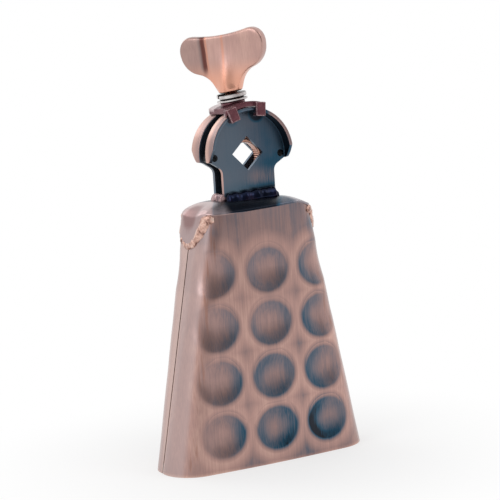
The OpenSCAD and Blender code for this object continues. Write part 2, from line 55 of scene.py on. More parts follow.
camera_turn, camera_rise, camera_roll = radians(28.0), radians(6.57), radians(3.54)
camera_aim = Vector((1.07, 0, 123.97)) * mm
camera_reach = 814.04 * mm
towards_camera = way(camera_turn, camera_rise)
camera_data = bpy.data.cameras.new("camera")
camera_data.sensor_width = 36
camera_data.lens = 98.62
camera = bpy.data.objects.new("camera", camera_data)
camera.location = camera_aim + towards_camera * camera_reach
level_turn = towards_camera.to_track_quat("Z", "Y")
camera.rotation_euler = (level_turn @ Quaternion((0, 0, 1), -camera_roll)).to_euler()
scene.collection.objects.link(camera)
scene.camera = camera


class Value:
    """An output of a shader node; sums, differences and products of these lay Math nodes."""

    def __init__(self, tree, socket):
        self.tree, self.socket = tree, socket

    def reckon(self, operation, *others, **settings):
        """Lays one Math node on this value."""
        inputs = dict(enumerate((self, *others)))
        return lay(self.tree, "ShaderNodeMath", inputs, operation=operation, **settings)[0]

    def __add__(self, other):
        return self.reckon("ADD", other)

    def __sub__(self, other):
        return self.reckon("SUBTRACT", other)

    def __mul__(self, other):
        return self.reckon("MULTIPLY", other)

    def ramp(self, low, high, to_low=0.0, to_high=1.0):
        """Carries the value smoothly from one range to another."""
        ranged = {"Value": self, "From Min": low, "From Max": high, "To Min": to_low, "To Max": to_high}
        return lay(self.tree, "ShaderNodeMapRange", ranged, interpolation_type="SMOOTHSTEP")["Result"]

    def toward(self, share, colour):
        """Mixes a share of another colour into this one."""
        return lay(self.tree, "ShaderNodeMix", {0: share, 6: self, 7: colour}, data_type="RGBA")[2]


def lay(tree, kind, inputs=None, **settings):
    """Adds a shader node with its settings, and a value or a link for each input; returns its outputs."""
    node = tree.nodes.new(kind)
    for name, value in settings.items():
        setattr(node, name, value)
    for name, value in (inputs or {}).items():
        if isinstance(value, Value):
            tree.links.new(value.socket, node.inputs[name])
        else:
            node.inputs[name].default_value = value
    values = [Value(tree, socket) for socket in node.outputs]
    return dict(enumerate(values)) | {value.socket.name: value for value in values}


def seen_rays(tree):
    """1 for the rays that show the surround to the camera, straight or mirrored or through glass."""
    path = lay(tree, "ShaderNodeLightPath")
    mirrored = path["Is Glossy Ray"].reckon("MAXIMUM", path["Is Transmission Ray"])
    return mirrored.reckon("MAXIMUM", path["Is Camera Ray"])


def bare_material(name):
    """A new material with nothing in its node tree but the place on the object, which is returned with it."""
    material = bpy.data.materials.new(name)
    material.use_nodes = True
    material.node_tree.nodes.clear()
    return material, lay(material.node_tree, "ShaderNodeTexCoord")["Object"]


world = bpy.data.worlds.new("white_surround")
world.use_nodes = True
tree = world.node_tree
tree.nodes.clear()
surround_light, dim_side = 0.8, 0.72
dim_way = way(radians(2), radians(6))
sky_way = lay(tree, "ShaderNodeTexCoord")["Generated"]
facing = lay(tree, "ShaderNodeVectorMath", {0: sky_way, 1: dim_way}, operation="DOT_PRODUCT")["Value"]
dimmed = facing.ramp(cos(radians(62)), cos(radians(14))) * dim_side
mirrored_only = dimmed * lay(tree, "ShaderNodeLightPath")["Is Glossy Ray"]
surround = seen_rays(tree) * (1 - surround_light) + surround_light - mirrored_only
shine = lay(tree, "ShaderNodeBackground", {"Color": (1, 1, 1, 1), "Strength": surround})
lay(tree, "ShaderNodeOutputWorld", {"Surface": shine[0]})
scene.world = world

floor_mesh = bpy.data.meshes.new("floor")
floor_sheet = bmesh.new()
bmesh.ops.create_grid(floor_sheet, x_segments=1, y_segments=1, size=4)
bmesh.ops.translate(floor_sheet, verts=floor_sheet.verts, vec=(0, 0, -0.1 * mm))
floor_sheet.to_mesh(floor_mesh)
floor_sheet.free()
floor = bpy.data.objects.new("floor", floor_mesh)
scene.collection.objects.link(floor)
floor_paint, place = bare_material("pale_floor")
away = lay(place.tree, "ShaderNodeVectorMath", {0: place}, operation="LENGTH")["Value"]
fade = away.ramp(0.05, 0.2, 0.55) * seen_rays(place.tree)
matt = lay(place.tree, "ShaderNodeBsdfDiffuse", {"Color": (0.9, 0.9, 0.9, 1)})
white = lay(place.tree, "ShaderNodeEmission", {"Color": (1, 1, 1, 1), "Strength": 1})
faded = lay(place.tree, "ShaderNodeMixShader", {0: fade, 1: matt[0], 2: white[0]})
lay(place.tree, "ShaderNodeOutputMaterial", {"Surface": faded[0]})
floor_mesh.materials.append(floor_paint)

for lamp_name, lamp_place, lamp_size, lamp_power in (
    ("left_soft_box", (-0.95, -0.3, 0.7), 0.7, 2.4),
    ("right_soft_box", (0.6, -0.7, 0.9), 0.5, 1.2),
    ("back_soft_box", (-0.35, 0.8, 0.8), 0.6, 1.2),
):
    lamp_data = bpy.data.lights.new(lamp_name, "AREA")
    lamp_data.shape = "DISK"
    lamp_data.size = lamp_size
    lamp_data.energy = lamp_power
    lamp = bpy.data.objects.new(lamp_name, lamp_data)
    lamp.location = lamp_place
    lamp.rotation_euler = (Vector(lamp_place) - camera_aim).to_track_quat("Z", "Y").to_euler()
    scene.collection.objects.link(lamp)


# Shells: the front and rear halves of the bell, pressed from steel sheet in one tool, with three columns
# Copper plated, stained dark, brushed through up and down, then lacquered; painted shade and reflection deepen the
# dimples, grey the narrow sides and lighten the rear shell's side by the seam.
bell_h, sheet_t = 150.0, 1.6
mouth_w, mouth_d, mouth_bend_r = 131.0, 45.0, 20.0
top_w, top_d, top_bend_r = 70.0, 41.0, 11.0
face_bow, seam_gap = 1.5, 1.0
dimple_r, dimple_depth, rim_softness = 13.0, 1.8, 0.16
dimple_columns = (-34.9, 0.0, 34.9)
dimple_rows = (21.5, 52.7, 83.9, 115.1)
wave_h, wave_l = 0.12, 16.0
crown_t = 1.6


def wall_sizes(z):
    """Half width, half depth and bend radius of the bell's outside at a height."""
    share = z / bell_h
    bend_r = lerp(mouth_bend_r, top_bend_r, share)
    return lerp(mouth_w, top_w, share) / 2, lerp(mouth_d, top_d, share) / 2, bend_r


def wall_point(u, z):
    """Outside of the front half at a height: u is 0 to 1 on the left side, to 2 on its bend, to 4 on the face."""
    if u > 3:
        x, y = wall_point(6 - u, z)
        return -x, y
    w, d, r = wall_sizes(z)
    if u < 1:
        return -w, -lerp(seam_gap / 2, d - r, u)
    if u < 2:
        turn = (u - 1) * pi / 2
        return -(w - r) - r * cos(turn), -(d - r) - r * sin(turn)
    return (w - r) * (u - 3), -d - face_bow * (1 - (u - 3) ** 2)


def wall_out(u):
    """Outward direction of that wall."""
    if u > 3:
        out = wall_out(6 - u)
        return Vector((-out.x, out.y, 0))
    turn = clamp(u - 1, 0, 1) * pi / 2
    return Vector((-cos(turn), -sin(turn), 0)) if u < 2 else Vector((0, -1, 0))


def station(share):
    """Place on the section for a share of its length, from the left seam to the right one."""
    return float(interp(share, (0, 0.045, 0.235, 0.765, 0.955, 1), (0, 1, 2, 4, 5, 6)))


def nearest_dimple(x, z):
    """Column, row and distance of the nearest dimple's middle, the distance in dimple radii."""
    cx = min(dimple_columns, key=lambda c: abs(x - c))
    cz = min(dimple_rows, key=lambda c: abs(z - c))
    return cx, cz, sqrt((x - cx) ** 2 + (z - cz) ** 2) / dimple_r


def dimple_press(reach):
    """Depth of the pressing there, with a softened rim."""
    inside = 1 - reach**2
    return dimple_depth * (inside + sqrt(inside**2 + rim_softness**2)) / 2


def round_off(bm, angle, offset, segments=2):
    """Rounds every edge that is sharper than an angle, and returns the new faces."""
    sharp = [e for e in bm.edges if len(e.link_faces) == 2 and e.calc_face_angle() > radians(angle)]
    return bmesh.ops.bevel(
        bm, geom=sharp, offset=offset, segments=segments, affect="EDGES", profile=0.5, material=-1,
        clamp_overlap=True,
    )["faces"]


def face_out(bm):
    """Turns every face to look outwards."""
    bmesh.ops.recalc_face_normals(bm, faces=bm.faces)


def put_in(bm, name, material, angle=40, place=Matrix()):
    """Turns a mesh in millimetres into a piece of the scene at its place, smooth except at its sharp edges."""
    bmesh.ops.transform(bm, matrix=Matrix.Scale(mm, 4) @ place, verts=bm.verts)
    mesh = bpy.data.meshes.new(name)
    bm.to_mesh(mesh)
    bm.free()
    mesh.shade_smooth()
    mesh.set_sharp_from_angle(angle=radians(angle))
    mesh.materials.append(material)
    piece = bpy.data.objects.new(name, mesh)
    scene.collection.objects.link(piece)
    return piece


def colour_ramp(value, stops):
    """Colours a value by stops of place and linear colour."""
    coloured = lay(value.tree, "ShaderNodeValToRGB", {0: value})["Color"]
    elements = coloured.socket.node.color_ramp.elements
    while len(elements) < len(stops):
        elements.new(0.5)
    for element, (place, colour) in zip(elements, stops):
        element.position = place
        element.color = (*colour, 1)
    return coloured


def grain(place, scale, detail=2.0, roughness=0.5, stretch=(1, 1, 1)):
    """Noise over a place that is stretched first."""
    drawn = lay(place.tree, "ShaderNodeMapping", {"Vector": place, "Scale": stretch})[0]
    pattern = {"Vector": drawn, "Scale": scale, "Detail": detail, "Roughness": roughness}
    return lay(place.tree, "ShaderNodeTexNoise", pattern)["Fac"]


aged_copper = bpy.data.node_groups.new("aged_copper", "ShaderNodeTree")
for label, kind, side in (
    ("Vector", "NodeSocketVector", "INPUT"), ("Patina", "NodeSocketFloat", "INPUT"),
    ("Brush", "NodeSocketFloat", "INPUT"), ("Color", "NodeSocketColor", "OUTPUT"),
    ("Roughness", "NodeSocketFloat", "OUTPUT"), ("Height", "NodeSocketFloat", "OUTPUT"),
):
    aged_copper.interface.new_socket(label, in_out=side, socket_type=kind)
given = lay(aged_copper, "NodeGroupInput")
fine_lines = grain(given["Vector"], 1500, 3, stretch=(1, 1, 0.02))
broad_lines = grain(given["Vector"], 420, stretch=(1, 1, 0.05))
clouds = grain(given["Vector"], 55, 4, stretch=(1, 1, 0.6))
lines = (fine_lines - 0.5) * 0.6 + (broad_lines - 0.5) * 0.2
brushed = lines * given["Brush"] + given["Patina"]
stained = ((clouds - 0.5) * 0.3).reckon("ADD", brushed, use_clamp=True)
copper_tone = colour_ramp(stained, (
    (0.0, (0.66, 0.42, 0.35)),
    (0.22, (0.47, 0.285, 0.25)),
    (0.45, (0.31, 0.205, 0.195)),
    (0.65, (0.15, 0.145, 0.175)),
    (0.84, (0.022, 0.08, 0.135)),
    (1.0, (0.010, 0.014, 0.024)),
))
dull = fine_lines * 0.16 + stained * 0.08 + 0.26
lay(aged_copper, "NodeGroupOutput", {"Color": copper_tone, "Roughness": dull, "Height": fine_lines})


def metal(tree, height, strength, depth, looks):
    """Ends a material as metal with its looks, and with a relief of a strength and a depth."""
    relief = lay(tree, "ShaderNodeBump", {"Height": height, "Strength": strength, "Distance": depth * mm})
    shader = lay(tree, "ShaderNodeBsdfPrincipled", {**looks, "Normal": relief["Normal"]})
    lay(tree, "ShaderNodeOutputMaterial", {"Surface": shader[0]})


def copper(name, patina, tint, brush, bump=0.25, coat=0.35):
    """Lacquered copper plate; patina says how dark it is at each place, and tint recolours it."""
    material, place = bare_material(name)
    stain = {"Vector": place, "Patina": patina(place), "Brush": brush}
    plated = lay(place.tree, "ShaderNodeGroup", stain, node_tree=aged_copper)
    metal(place.tree, plated["Height"], bump, 0.1, {
        "Base Color": tint(place, plated["Color"]), "Roughness": plated["Roughness"], "Metallic": 1.0,
        "Coat Weight": coat, "Coat Roughness": 0.12,
    })
    return material


def marked(place, name):
    """A value that the mesh carries at its vertices."""
    return lay(place.tree, "ShaderNodeAttribute", attribute_name=name)["Fac"]


def axes_of(place):
    """The coordinates of a place."""
    return lay(place.tree, "ShaderNodeSeparateXYZ", {0: place})


def length_of(across, up):
    """Length of a way that goes across and up."""
    return (across * across + up * up).reckon("SQRT")


def shell_patina(place):
    """Dark rings in the dimples and pale ridges round them, partly the patina of the hollows and partly painted shade
    and reflection, deeper towards the bottom and right, and darker on each dimple's side towards the bell's middle
    and its lower side, which is painted shade; smudges between, and corners scorched by the brazing.
    """
    ring = colour_ramp(marked(place, "reach"), [(reach, (stain,) * 3) for reach, stain in (
        (0.0, 0.22), (0.17, 0.28), (0.38, 0.45), (0.5, 0.48), (0.57, 0.16), (0.63, 0.0), (0.72, 0.04), (0.9, 0.26),
    )])
    axes = axes_of(place)
    low = axes["Z"].ramp(0.115, 0.02, 0.82, 1.22) * axes["X"].ramp(-0.035, -0.008, 0.66, 1.06)
    painted_dimple_shade = marked(place, "painted_dimple_shade") * 0.3 + 1
    blot = grain(place, 30) * 0.7 + 0.65
    smudge = grain(place, 38, 3) * 0.28
    dark = ring * low * painted_dimple_shade * blot * marked(place, "face") + smudge
    top = axes["Z"].ramp(0.118, 0.15, 0, 0.12)
    # The edge mark lightens the worn mouth and seam edges, and paints a highlight on the rear shell's side by the
    # seam.
    worn = marked(place, "edge") * -0.35
    off_corner = length_of(axes["X"].reckon("ABSOLUTE") - 0.0345, (axes["Z"] - 0.136) * 0.7)
    scorched = off_corner.ramp(0.0085, 0.002) * 0.26 + 0.03
    return dark + top + worn + scorched


def shell_tint(place, tone):
    """Greyer on the narrow sides, a painted reflection of the pale surround, with brown rubs down the bends."""
    from_side = marked(place, "face")
    greyed = tone.toward(from_side.ramp(0.55, 0.36, 0, 0.4), (0.45, 0.38, 0.385, 1))
    bend = from_side.ramp(0.4, 0.6) * from_side.ramp(0.98, 0.8)
    rub = grain(place, 520, 3, stretch=(1, 1, 0.05)).ramp(0.5, 0.7, 0, 0.5)
    return greyed.toward(bend * rub, (0.3, 0.135, 0.085, 1))


hammered = copper("hammered_copper", shell_patina, shell_tint, 0.5)
tongue_l, tongue_bend_r, crown_edge_r, crown_droop, lap_gap = 19.5, 4.0, 1.0, 0.5, 0.15
tongue_u, front_climb_h = 4 / 3, 2.8


def seam_share(u):
    """Share of the way under the crown from the side seam to the start of the face."""
    _, d, r = wall_sizes(bell_h)
    side, bend, v = d - r, r * pi / 2, min(u, 6 - u)
    return (v * side if v < 1 else side + (min(v, 2) - 1) * bend) / (side + bend)


tongue_end = seam_share(tongue_u)


def tongue_share(u):
    """The same share, reaching 1 where the crown's tongue ends."""
    return min(1, seam_share(u) / tongue_end)


def fold_radius(u):
    """Outer radius of the crown's fold, wide over the tongues."""
    return lerp(tongue_bend_r, crown_edge_r, tongue_share(u) ** 2)


def fold_height(u):
    """Height at which that fold starts."""
    return bell_h - crown_droop * (1 - tongue_share(u) ** 2) - fold_radius(u)


def front_climb(u):
    """How much the front's top edge, trimmed by hand, stands higher towards its right end."""
    return front_climb_h * clamp((u - 2) / 2, 0, 1) * smoothstep(4.6, 4, u)


for shell_name, shell_turn in (("front_shell", 0), ("rear_shell", pi)):
    sheet = bmesh.new()
    reach_mark, face_mark, edge_mark, painted_dimple_shade_mark = (
        sheet.verts.layers.float.new(name) for name in ("reach", "face", "edge", "painted_dimple_shade")
    )
    bmesh.ops.create_grid(sheet, x_segments=176, y_segments=150, size=1)
    for v in sheet.verts:
        u = station((v.co.x + 1) / 2)
        top = min(bell_h - crown_t, fold_height(u)) + (0 if shell_turn else front_climb(u))
        z = top * (v.co.y + 1) / 2
        x, y = wall_point(u, z)
        cx, cz, reach = nearest_dimple(x, z)
        inner = min(u, 6 - u)
        press = dimple_press(reach) * smoothstep(0, 0.2, inner)
        wave = wave_h * noise.noise(Vector((x, y, z)) / wave_l)
        v[reach_mark] = min(reach / 2, 1)
        v[face_mark] = lerp(0.35, 1, smoothstep(1.35, 1.9, inner))
        v[edge_mark] = 1 - smoothstep(0, 1.6, min(z, abs(y) - seam_gap / 2))
        # Painted highlight: the rear shell's narrow side is lighter next to the seam.
        if shell_turn:
            v[edge_mark] = max(v[edge_mark], 0.6 - 0.6 * smoothstep(0.6, 1.4, inner))
        # Painted shade: each dimple is darker on its side towards the bell's middle and on its lower side.
        to_middle = (cx > 0) - (cx < 0)
        v[painted_dimple_shade_mark] = clamp(-(to_middle * (x - cx) + 0.2 * (z - cz)) / dimple_r, -1, 1)
        v.co = Vector((x, y + press, z)) + wall_out(u) * wave * smoothstep(0, 0.2, inner)
    bmesh.ops.solidify(sheet, geom=sheet.faces[:], thickness=sheet_t)
    for v in sheet.verts:
        v.co.z = max(v.co.z, 0)
    round_off(sheet, 50, 0.45)
    shell = put_in(sheet, shell_name + "_skin", hammered, place=Matrix.Rotation(shell_turn, 4, "Z"))
    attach(shell, "bell")
    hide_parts(shell_name)


# Seam braze: filler metal run into the groove between the shells at both sides, left rough and dark.
# It stands a little below the outside of the sheet and swells out in places.
seam_recess = 0.5


def tarnish(name, tones, scale, rough, bump, metallic=0.7, coat=0.0):
    """Rough cast or melted metal: blotches of a few tones with a pitted surface."""
    material, place = bare_material(name)
    blotch, pits = grain(place, scale, 5, 0.6), grain(place, scale * 6, 3, 0.6)
    metal(place.tree, pits, bump, 0.3, {
        "Base Color": colour_ramp(blotch * 1.4 + pits * 0.3 - 0.35, tones),
        "Roughness": blotch * 0.25 + (rough - 0.12), "Metallic": metallic,
        "Coat Weight": coat, "Coat Roughness": 0.08,
    })
    return material


seam_dark = tarnish("seam_dark", (
    (0.2, (0.05, 0.03, 0.032)), (0.5, (0.15, 0.095, 0.09)), (0.72, (0.4, 0.27, 0.24)),
), 160, 0.4, 0.5)
for seam_name, seam_side in (("left_seam_braze", -1), ("right_seam_braze", 1)):
    filler = bmesh.new()
    bmesh.ops.create_cube(filler, size=1)
    upright = [e for e in filler.edges if abs(e.verts[0].co.z - e.verts[1].co.z) > 0.5]
    bmesh.ops.subdivide_edges(filler, edges=upright, cuts=160, use_grid_fill=True)
    across = [e for e in filler.edges if abs(e.verts[0].co.y - e.verts[1].co.y) > 0.5]
    bmesh.ops.subdivide_edges(filler, edges=across, cuts=2, use_grid_fill=True)
    for v in filler.verts:
        z = (v.co.z + 0.5) * fold_height(0)
        swell = 0.35 * noise.noise((0, v.co.y * 0.7, z / 3.5)) * (0.5 - abs(v.co.y)) * 2
        depth = sheet_t if v.co.x * seam_side < 0 else seam_recess - max(swell, -0.1)
        v.co = (seam_side * (wall_sizes(z)[0] - depth), v.co.y * (seam_gap + 0.1), z)
    face_out(filler)
    seam = put_in(filler, seam_name + "_run", seam_dark)
    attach(seam, "bell")
    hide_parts(seam_name)


# Crown: the bell's top, a domed steel sheet whose two ends fold down over the sides as round tongues.
# Plated and lacquered with the shells; it stays smooth and pale at the ends, with a painted reflection on each fold,
# and dark round the bracket's foot, partly patina and partly painted shade.
crown_rise = 5.0
flat_z = bell_h + crown_rise
flat_half_w, flat_half_d = 20.5, 10.5
fold_turn = 50
crown_stations = 300
oval_half_w, oval_half_h, oval_drop, oval_bend_x, oval_bend_z = 10.0, 9.5, 3.5, 33.0, 151.0


def crown_lap(u):
    """How far the tongue stands out over the shells; its edges sink into the braze."""
    sunk = lerp(1, 0.45, smoothstep(0.6, 1, tongue_share(u)))
    return (crown_t + lap_gap) * min(1, (1 - seam_share(u)) / (1 - tongue_end)) * sunk


def skirt(u):
    """Length of sheet below the crown's fold, long at the tongues."""
    return lerp(crown_t, tongue_l, sqrt(1 - tongue_share(u) ** 2))


def crown_place(index, step):
    """Point of the crown's outside: steps 0 to 1 rise up the skirt, to 2 round the fold, to 3 over the dome."""
    half = crown_stations // 2
    rear = index >= half
    u = station(((crown_stations - 1 - index if rear else index) + 0.5) / half)
    climb = 0 if rear else front_climb(u)
    out, r, fold_z, foot_z = wall_out(u), fold_radius(u), fold_height(u) + climb, bell_h - skirt(u) + climb
    x, y = wall_point(u, lerp(foot_z, fold_z, min(step, 1)))
    p = Vector((x, y, lerp(foot_z, fold_z, min(step, 1)))) + out * crown_lap(u)
    if step > 1:
        turn = min(step - 1, 1) * radians(fold_turn)
        p += Vector((0, 0, r * sin(turn))) - out * r * (1 - cos(turn))
    if step > 2:
        w, d, _ = wall_sizes(bell_h)
        edge_x, edge_y = wall_point(u, bell_h)
        share = min(step - 2, 1)
        p.x = lerp(p.x, edge_x * flat_half_w / w, share)
        p.y = lerp(p.y, edge_y * flat_half_d / d, share)
        fullness = lerp(0.7, 1, smoothstep(1.3, 2.2, u))
        p.z = lerp(p.z, flat_z, sin(share * pi / 2) ** fullness)
    if step > 3:
        p.x, p.y = p.x * (4 - step), p.y * (4 - step)
    return Vector((p.x, -p.y, p.z)) if rear else p


def ring_of(bm, sides):
    """Starts a tube: a ring of edges whose vertices keep their number."""
    number = bm.verts.layers.int.new("number")
    for k, v in enumerate(bmesh.ops.create_circle(bm, segments=sides, radius=1)["verts"]):
        v[number] = k
    return number, bm.edges[:]


def verts_of(geom):
    """The vertices among the results of an operator."""
    return [g for g in geom if isinstance(g, bmesh.types.BMVert)]


def pull_ring(bm, edges, number, place):
    """Extrudes the ring by one step, sets each new vertex by its number, and returns the new ring."""
    grown = bmesh.ops.extrude_edge_only(bm, edges=edges)["geom"]
    for v in verts_of(grown):
        v.co = place(v[number])
    return [g for g in grown if isinstance(g, bmesh.types.BMEdge)]


def crown_patina(place):
    """Nearly black in front of and behind the bracket's foot, partly patina and partly painted shade; blue-grey
    beside it, pale pink at the ends.
    """
    axes = axes_of(place)
    off = axes["Y"].reckon("ABSOLUTE")
    to_left, to_right = off * 0.58 + axes["X"], off * 0.69 + axes["X"]
    patina_and_shade = to_left.ramp(-0.022, -0.019) * axes["Z"].ramp(0.1486, 0.1496) * 0.55
    black = to_right.ramp(0.029, 0.018) * patina_and_shade
    return patina_and_shade + black + grain(place, 70, 3) * 0.22 + 0.06


def crown_tint(place, tone):
    """Pale lavender grey at the ends, with a matt reddish oval of painted reflection on each fold."""
    axes = axes_of(place)
    end = axes["X"].reckon("ABSOLUTE").ramp(0.019, 0.025, 0, 0.6)
    grey = colour_ramp(axes["Z"].ramp(0.15, 0.153), ((0, (0.37, 0.31, 0.33)), (1, (0.56, 0.5, 0.52))))
    return tone.toward(end, grey).toward(marked(place, "oval") * 0.85, (0.25, 0.13, 0.125, 1))


lid = bmesh.new()
reflection_oval_mark = lid.verts.layers.float.new("oval")
crown_number, crown_edges = ring_of(lid, crown_stations)
for v in lid.verts:
    v.co = crown_place(v[crown_number], 0)
for crown_step in (
    0.2, 0.4, 0.6, 0.8, 1, 1.17, 1.33, 1.5, 1.67, 1.83, 2, 2.1, 2.2, 2.35, 2.5, 2.65, 2.8, 2.9, 3, 3.3, 3.7,
):
    crown_edges = pull_ring(lid, crown_edges, crown_number, lambda k: crown_place(k, crown_step))
bmesh.ops.edgeloop_fill(lid, edges=crown_edges)
face_out(lid)
# Painted reflection: marks an oval on each fold of the crown.
for v in lid.verts:
    past_bend = abs(v.co.x) - oval_bend_x
    down = oval_bend_z - v.co.z if past_bend > 0 else past_bend
    off = Vector((v.co.y / oval_half_w, (down - oval_drop) / oval_half_h)).length
    v[reflection_oval_mark] = 1 - smoothstep(0.6, 1, off)
bmesh.ops.solidify(lid, geom=lid.faces[:], thickness=crown_t)
round_off(lid, 50, 0.4)
crown_copper = copper("crown_copper", crown_patina, crown_tint, 0.3, coat=0.1)
crown = put_in(lid, "crown_cap_skin", crown_copper)
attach(crown, "bell")
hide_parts("crown_cap")


# Crown beads: braze melted round the edge of each tongue to hold it on the shells.
# A light coppery bead, lumpy and pitted, that ends in a blob at its front and rear corners.
bead_r, bead_steps, tail_steps = 1.4, 60, 8


def run_bead(bm, path, out, sizes, sides=16, flatness=1.0):
    """Lays a bead of changing size along a path; out points away from the work, and a flat bead is lower that way."""
    number, edges = ring_of(bm, sides)
    first = edges
    for k, p in enumerate(path):
        along = (path[min(k + 1, len(path) - 1)] - path[max(k - 1, 0)]).normalized()
        across = along.cross(out[k]).normalized()
        away = across.cross(along)

        def round_at(index):
            turn = 2 * pi * index / sides
            return p + (across * cos(turn) + away * sin(turn) * flatness) * sizes[k]

        if k == 0:
            for v in bm.verts:
                v.co = round_at(v[number])
        else:
            edges = pull_ring(bm, edges, number, round_at)
    bmesh.ops.edgeloop_fill(bm, edges=first)
    bmesh.ops.edgeloop_fill(bm, edges=edges)
    face_out(bm)


def melt(bm, depth, pitch, seed):
    """Swells and pits a bead as it froze."""
    bm.normal_update()
    moved = []
    for v in bm.verts:
        place = v.co / pitch + Vector((seed, 0, 0))
        moved.append(v.normal * depth * (noise.noise(place) + 0.45 * noise.noise(place * 2.7)))
    for v, shift in zip(bm.verts, moved):
        v.co += shift


bead_copper = tarnish("braze_copper", (
    (0.24, (0.04, 0.022, 0.02)), (0.38, (0.36, 0.19, 0.15)), (0.54, (0.66, 0.41, 0.33)), (0.8, (0.84, 0.66, 0.58)),
), 220, 0.36, 0.5, coat=0.3)
for bead_name, bead_side in (("left_crown_bead", -1), ("right_crown_bead", 1)):
    bead_path, bead_out, bead_sizes = [], [], []
    for k in range(-bead_steps - tail_steps, bead_steps + tail_steps + 1):
        share = abs(k) / bead_steps
        u = tongue_u * min(share, 1) + max(share - 1, 0) * 2.2
        z = bell_h - max(skirt(u), 4.2)
        x, y = wall_point(u, z)
        out = wall_out(u)
        p = Vector((x, y, z)) + out * (crown_lap(u) * 0.4 - (0.5 if k < 0 else 1.0) * smoothstep(0.6, 1, share))
        flip = Vector((-bead_side, -1 if k > 0 else 1, 1))
        bead_path.append(p * flip)
        bead_out.append((out + Vector((0, 0, -0.3))) * flip)
        swell = 1.35 + 0.3 * noise.noise((k / 4, bead_side, 0)) + 0.85 * smoothstep(0.72, 0.92, share)
        bead_sizes.append(bead_r * swell * (1 - 0.4 * smoothstep(1.08, 1.13, share)))
    drop = bmesh.new()
    run_bead(drop, bead_path, bead_out, bead_sizes, flatness=0.55)
    melt(drop, 0.55, 2.4, bead_side * 7)
    bead = put_in(drop, bead_name + "_run", bead_copper, 180)
    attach(bead, "bell")
    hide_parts(bead_name)


# Bracket plates: two keyhole plates of thick steel, welded upright on the crown with their flanges turned out.
# A square hole on its corner lets a rod through. Plated copper, stained blue-black, worn bright on the edges; painted
# shadows under the saddle's claws, painted shade deepening the patina inside the flanges, and painted highlights on
# the flange tips and the front plate's left side.
hole_h, hole_side = 26.7, 14.3
hole_z, hole_half = flat_z + hole_h, hole_side * sqrt(2) / 2
plate_t, plate_back = 2.5, 4.1
plate_face = plate_back + plate_t
flange_r, flange_t, flange_l, flange_reach = 26.8, 2.0, 7.2, 98
flange_bend_r, flange_fillet_r, flange_corner_l, flange_corner_d = 0.8, 0.4, 7.4, 6.0
neck_half, neck_fillet_r, shoulder_slope = 17.1, 5.0, 25
arc_steps = 196


def trace(bm, end, moves, axis=(0, -1, 0)):
    """Carries an outline on from a vertex, by lines to points and by arcs of a centre, degrees and steps."""
    for move in moves:
        if isinstance(move[0], tuple):
            centre, turn, steps = move
            arc = bmesh.ops.spin(bm, geom=[end], cent=centre, axis=axis, angle=radians(turn), steps=steps)
            end = arc["geom_last"][0]
        else:
            point = bm.verts.new(move)
            bm.edges.new((end, point))
            end = point
    return end


def take_in(bm, other):
    """Adds another mesh to this one."""
    carrier = bpy.data.meshes.new("carrier")
    other.to_mesh(carrier)
    other.free()
    bm.from_mesh(carrier)
    bpy.data.meshes.remove(carrier)


def draw_out(bm, vec):
    """Gives a flat sheet a thickness along a way."""
    drawn = bmesh.ops.extrude_face_region(bm, geom=bm.faces[:], use_keep_orig=True)["geom"]
    bmesh.ops.translate(bm, verts=verts_of(drawn), vec=vec)


def plate_patina(place):
    """Dark blue, darkest by the welds, with painted shadows under the claws, streaked pink below the hole, paler to
    the left, bright at marked edges.
    """
    axes = axes_of(place)
    foot = axes["Z"].ramp(0.168, 0.158, 0, 0.2)
    streak = grain(place, 2400, 3, stretch=(1, 1, 0.03)).ramp(0.2, 0.75)
    below = axes["Z"].ramp(0.1755, 0.1675) * axes["Z"].ramp(0.1605, 0.1655)
    rubbed = below * streak * axes["X"].ramp(-0.01, 0.006)
    pale = axes["X"].ramp(0.012, -0.018, 0, -0.16)
    front = axes["Y"].ramp(0, -0.003)
    # Painted shadows: the front plate is darkened below each of the saddle's claws.
    for claw_x, claw_z in ((-0.0098, 0.2026), (0.0069, 0.2045)):
        foot += length_of(axes["X"] - claw_x, axes["Z"] - claw_z).ramp(0.0062, 0.0028, 0, 0.3) * front
    return foot + rubbed * -0.25 + 0.79 + pale + marked(place, "edge") * -0.62


def plate_tint(place, tone):
    """A colder grey-blue on the left of the plates, except where they are worn."""
    left_grey = axes_of(place)["X"].ramp(0.01, -0.012) * marked(place, "edge").ramp(0.25, 0.02, 0, 0.7)
    return tone.toward(left_grey, (0.115, 0.165, 0.215, 1))


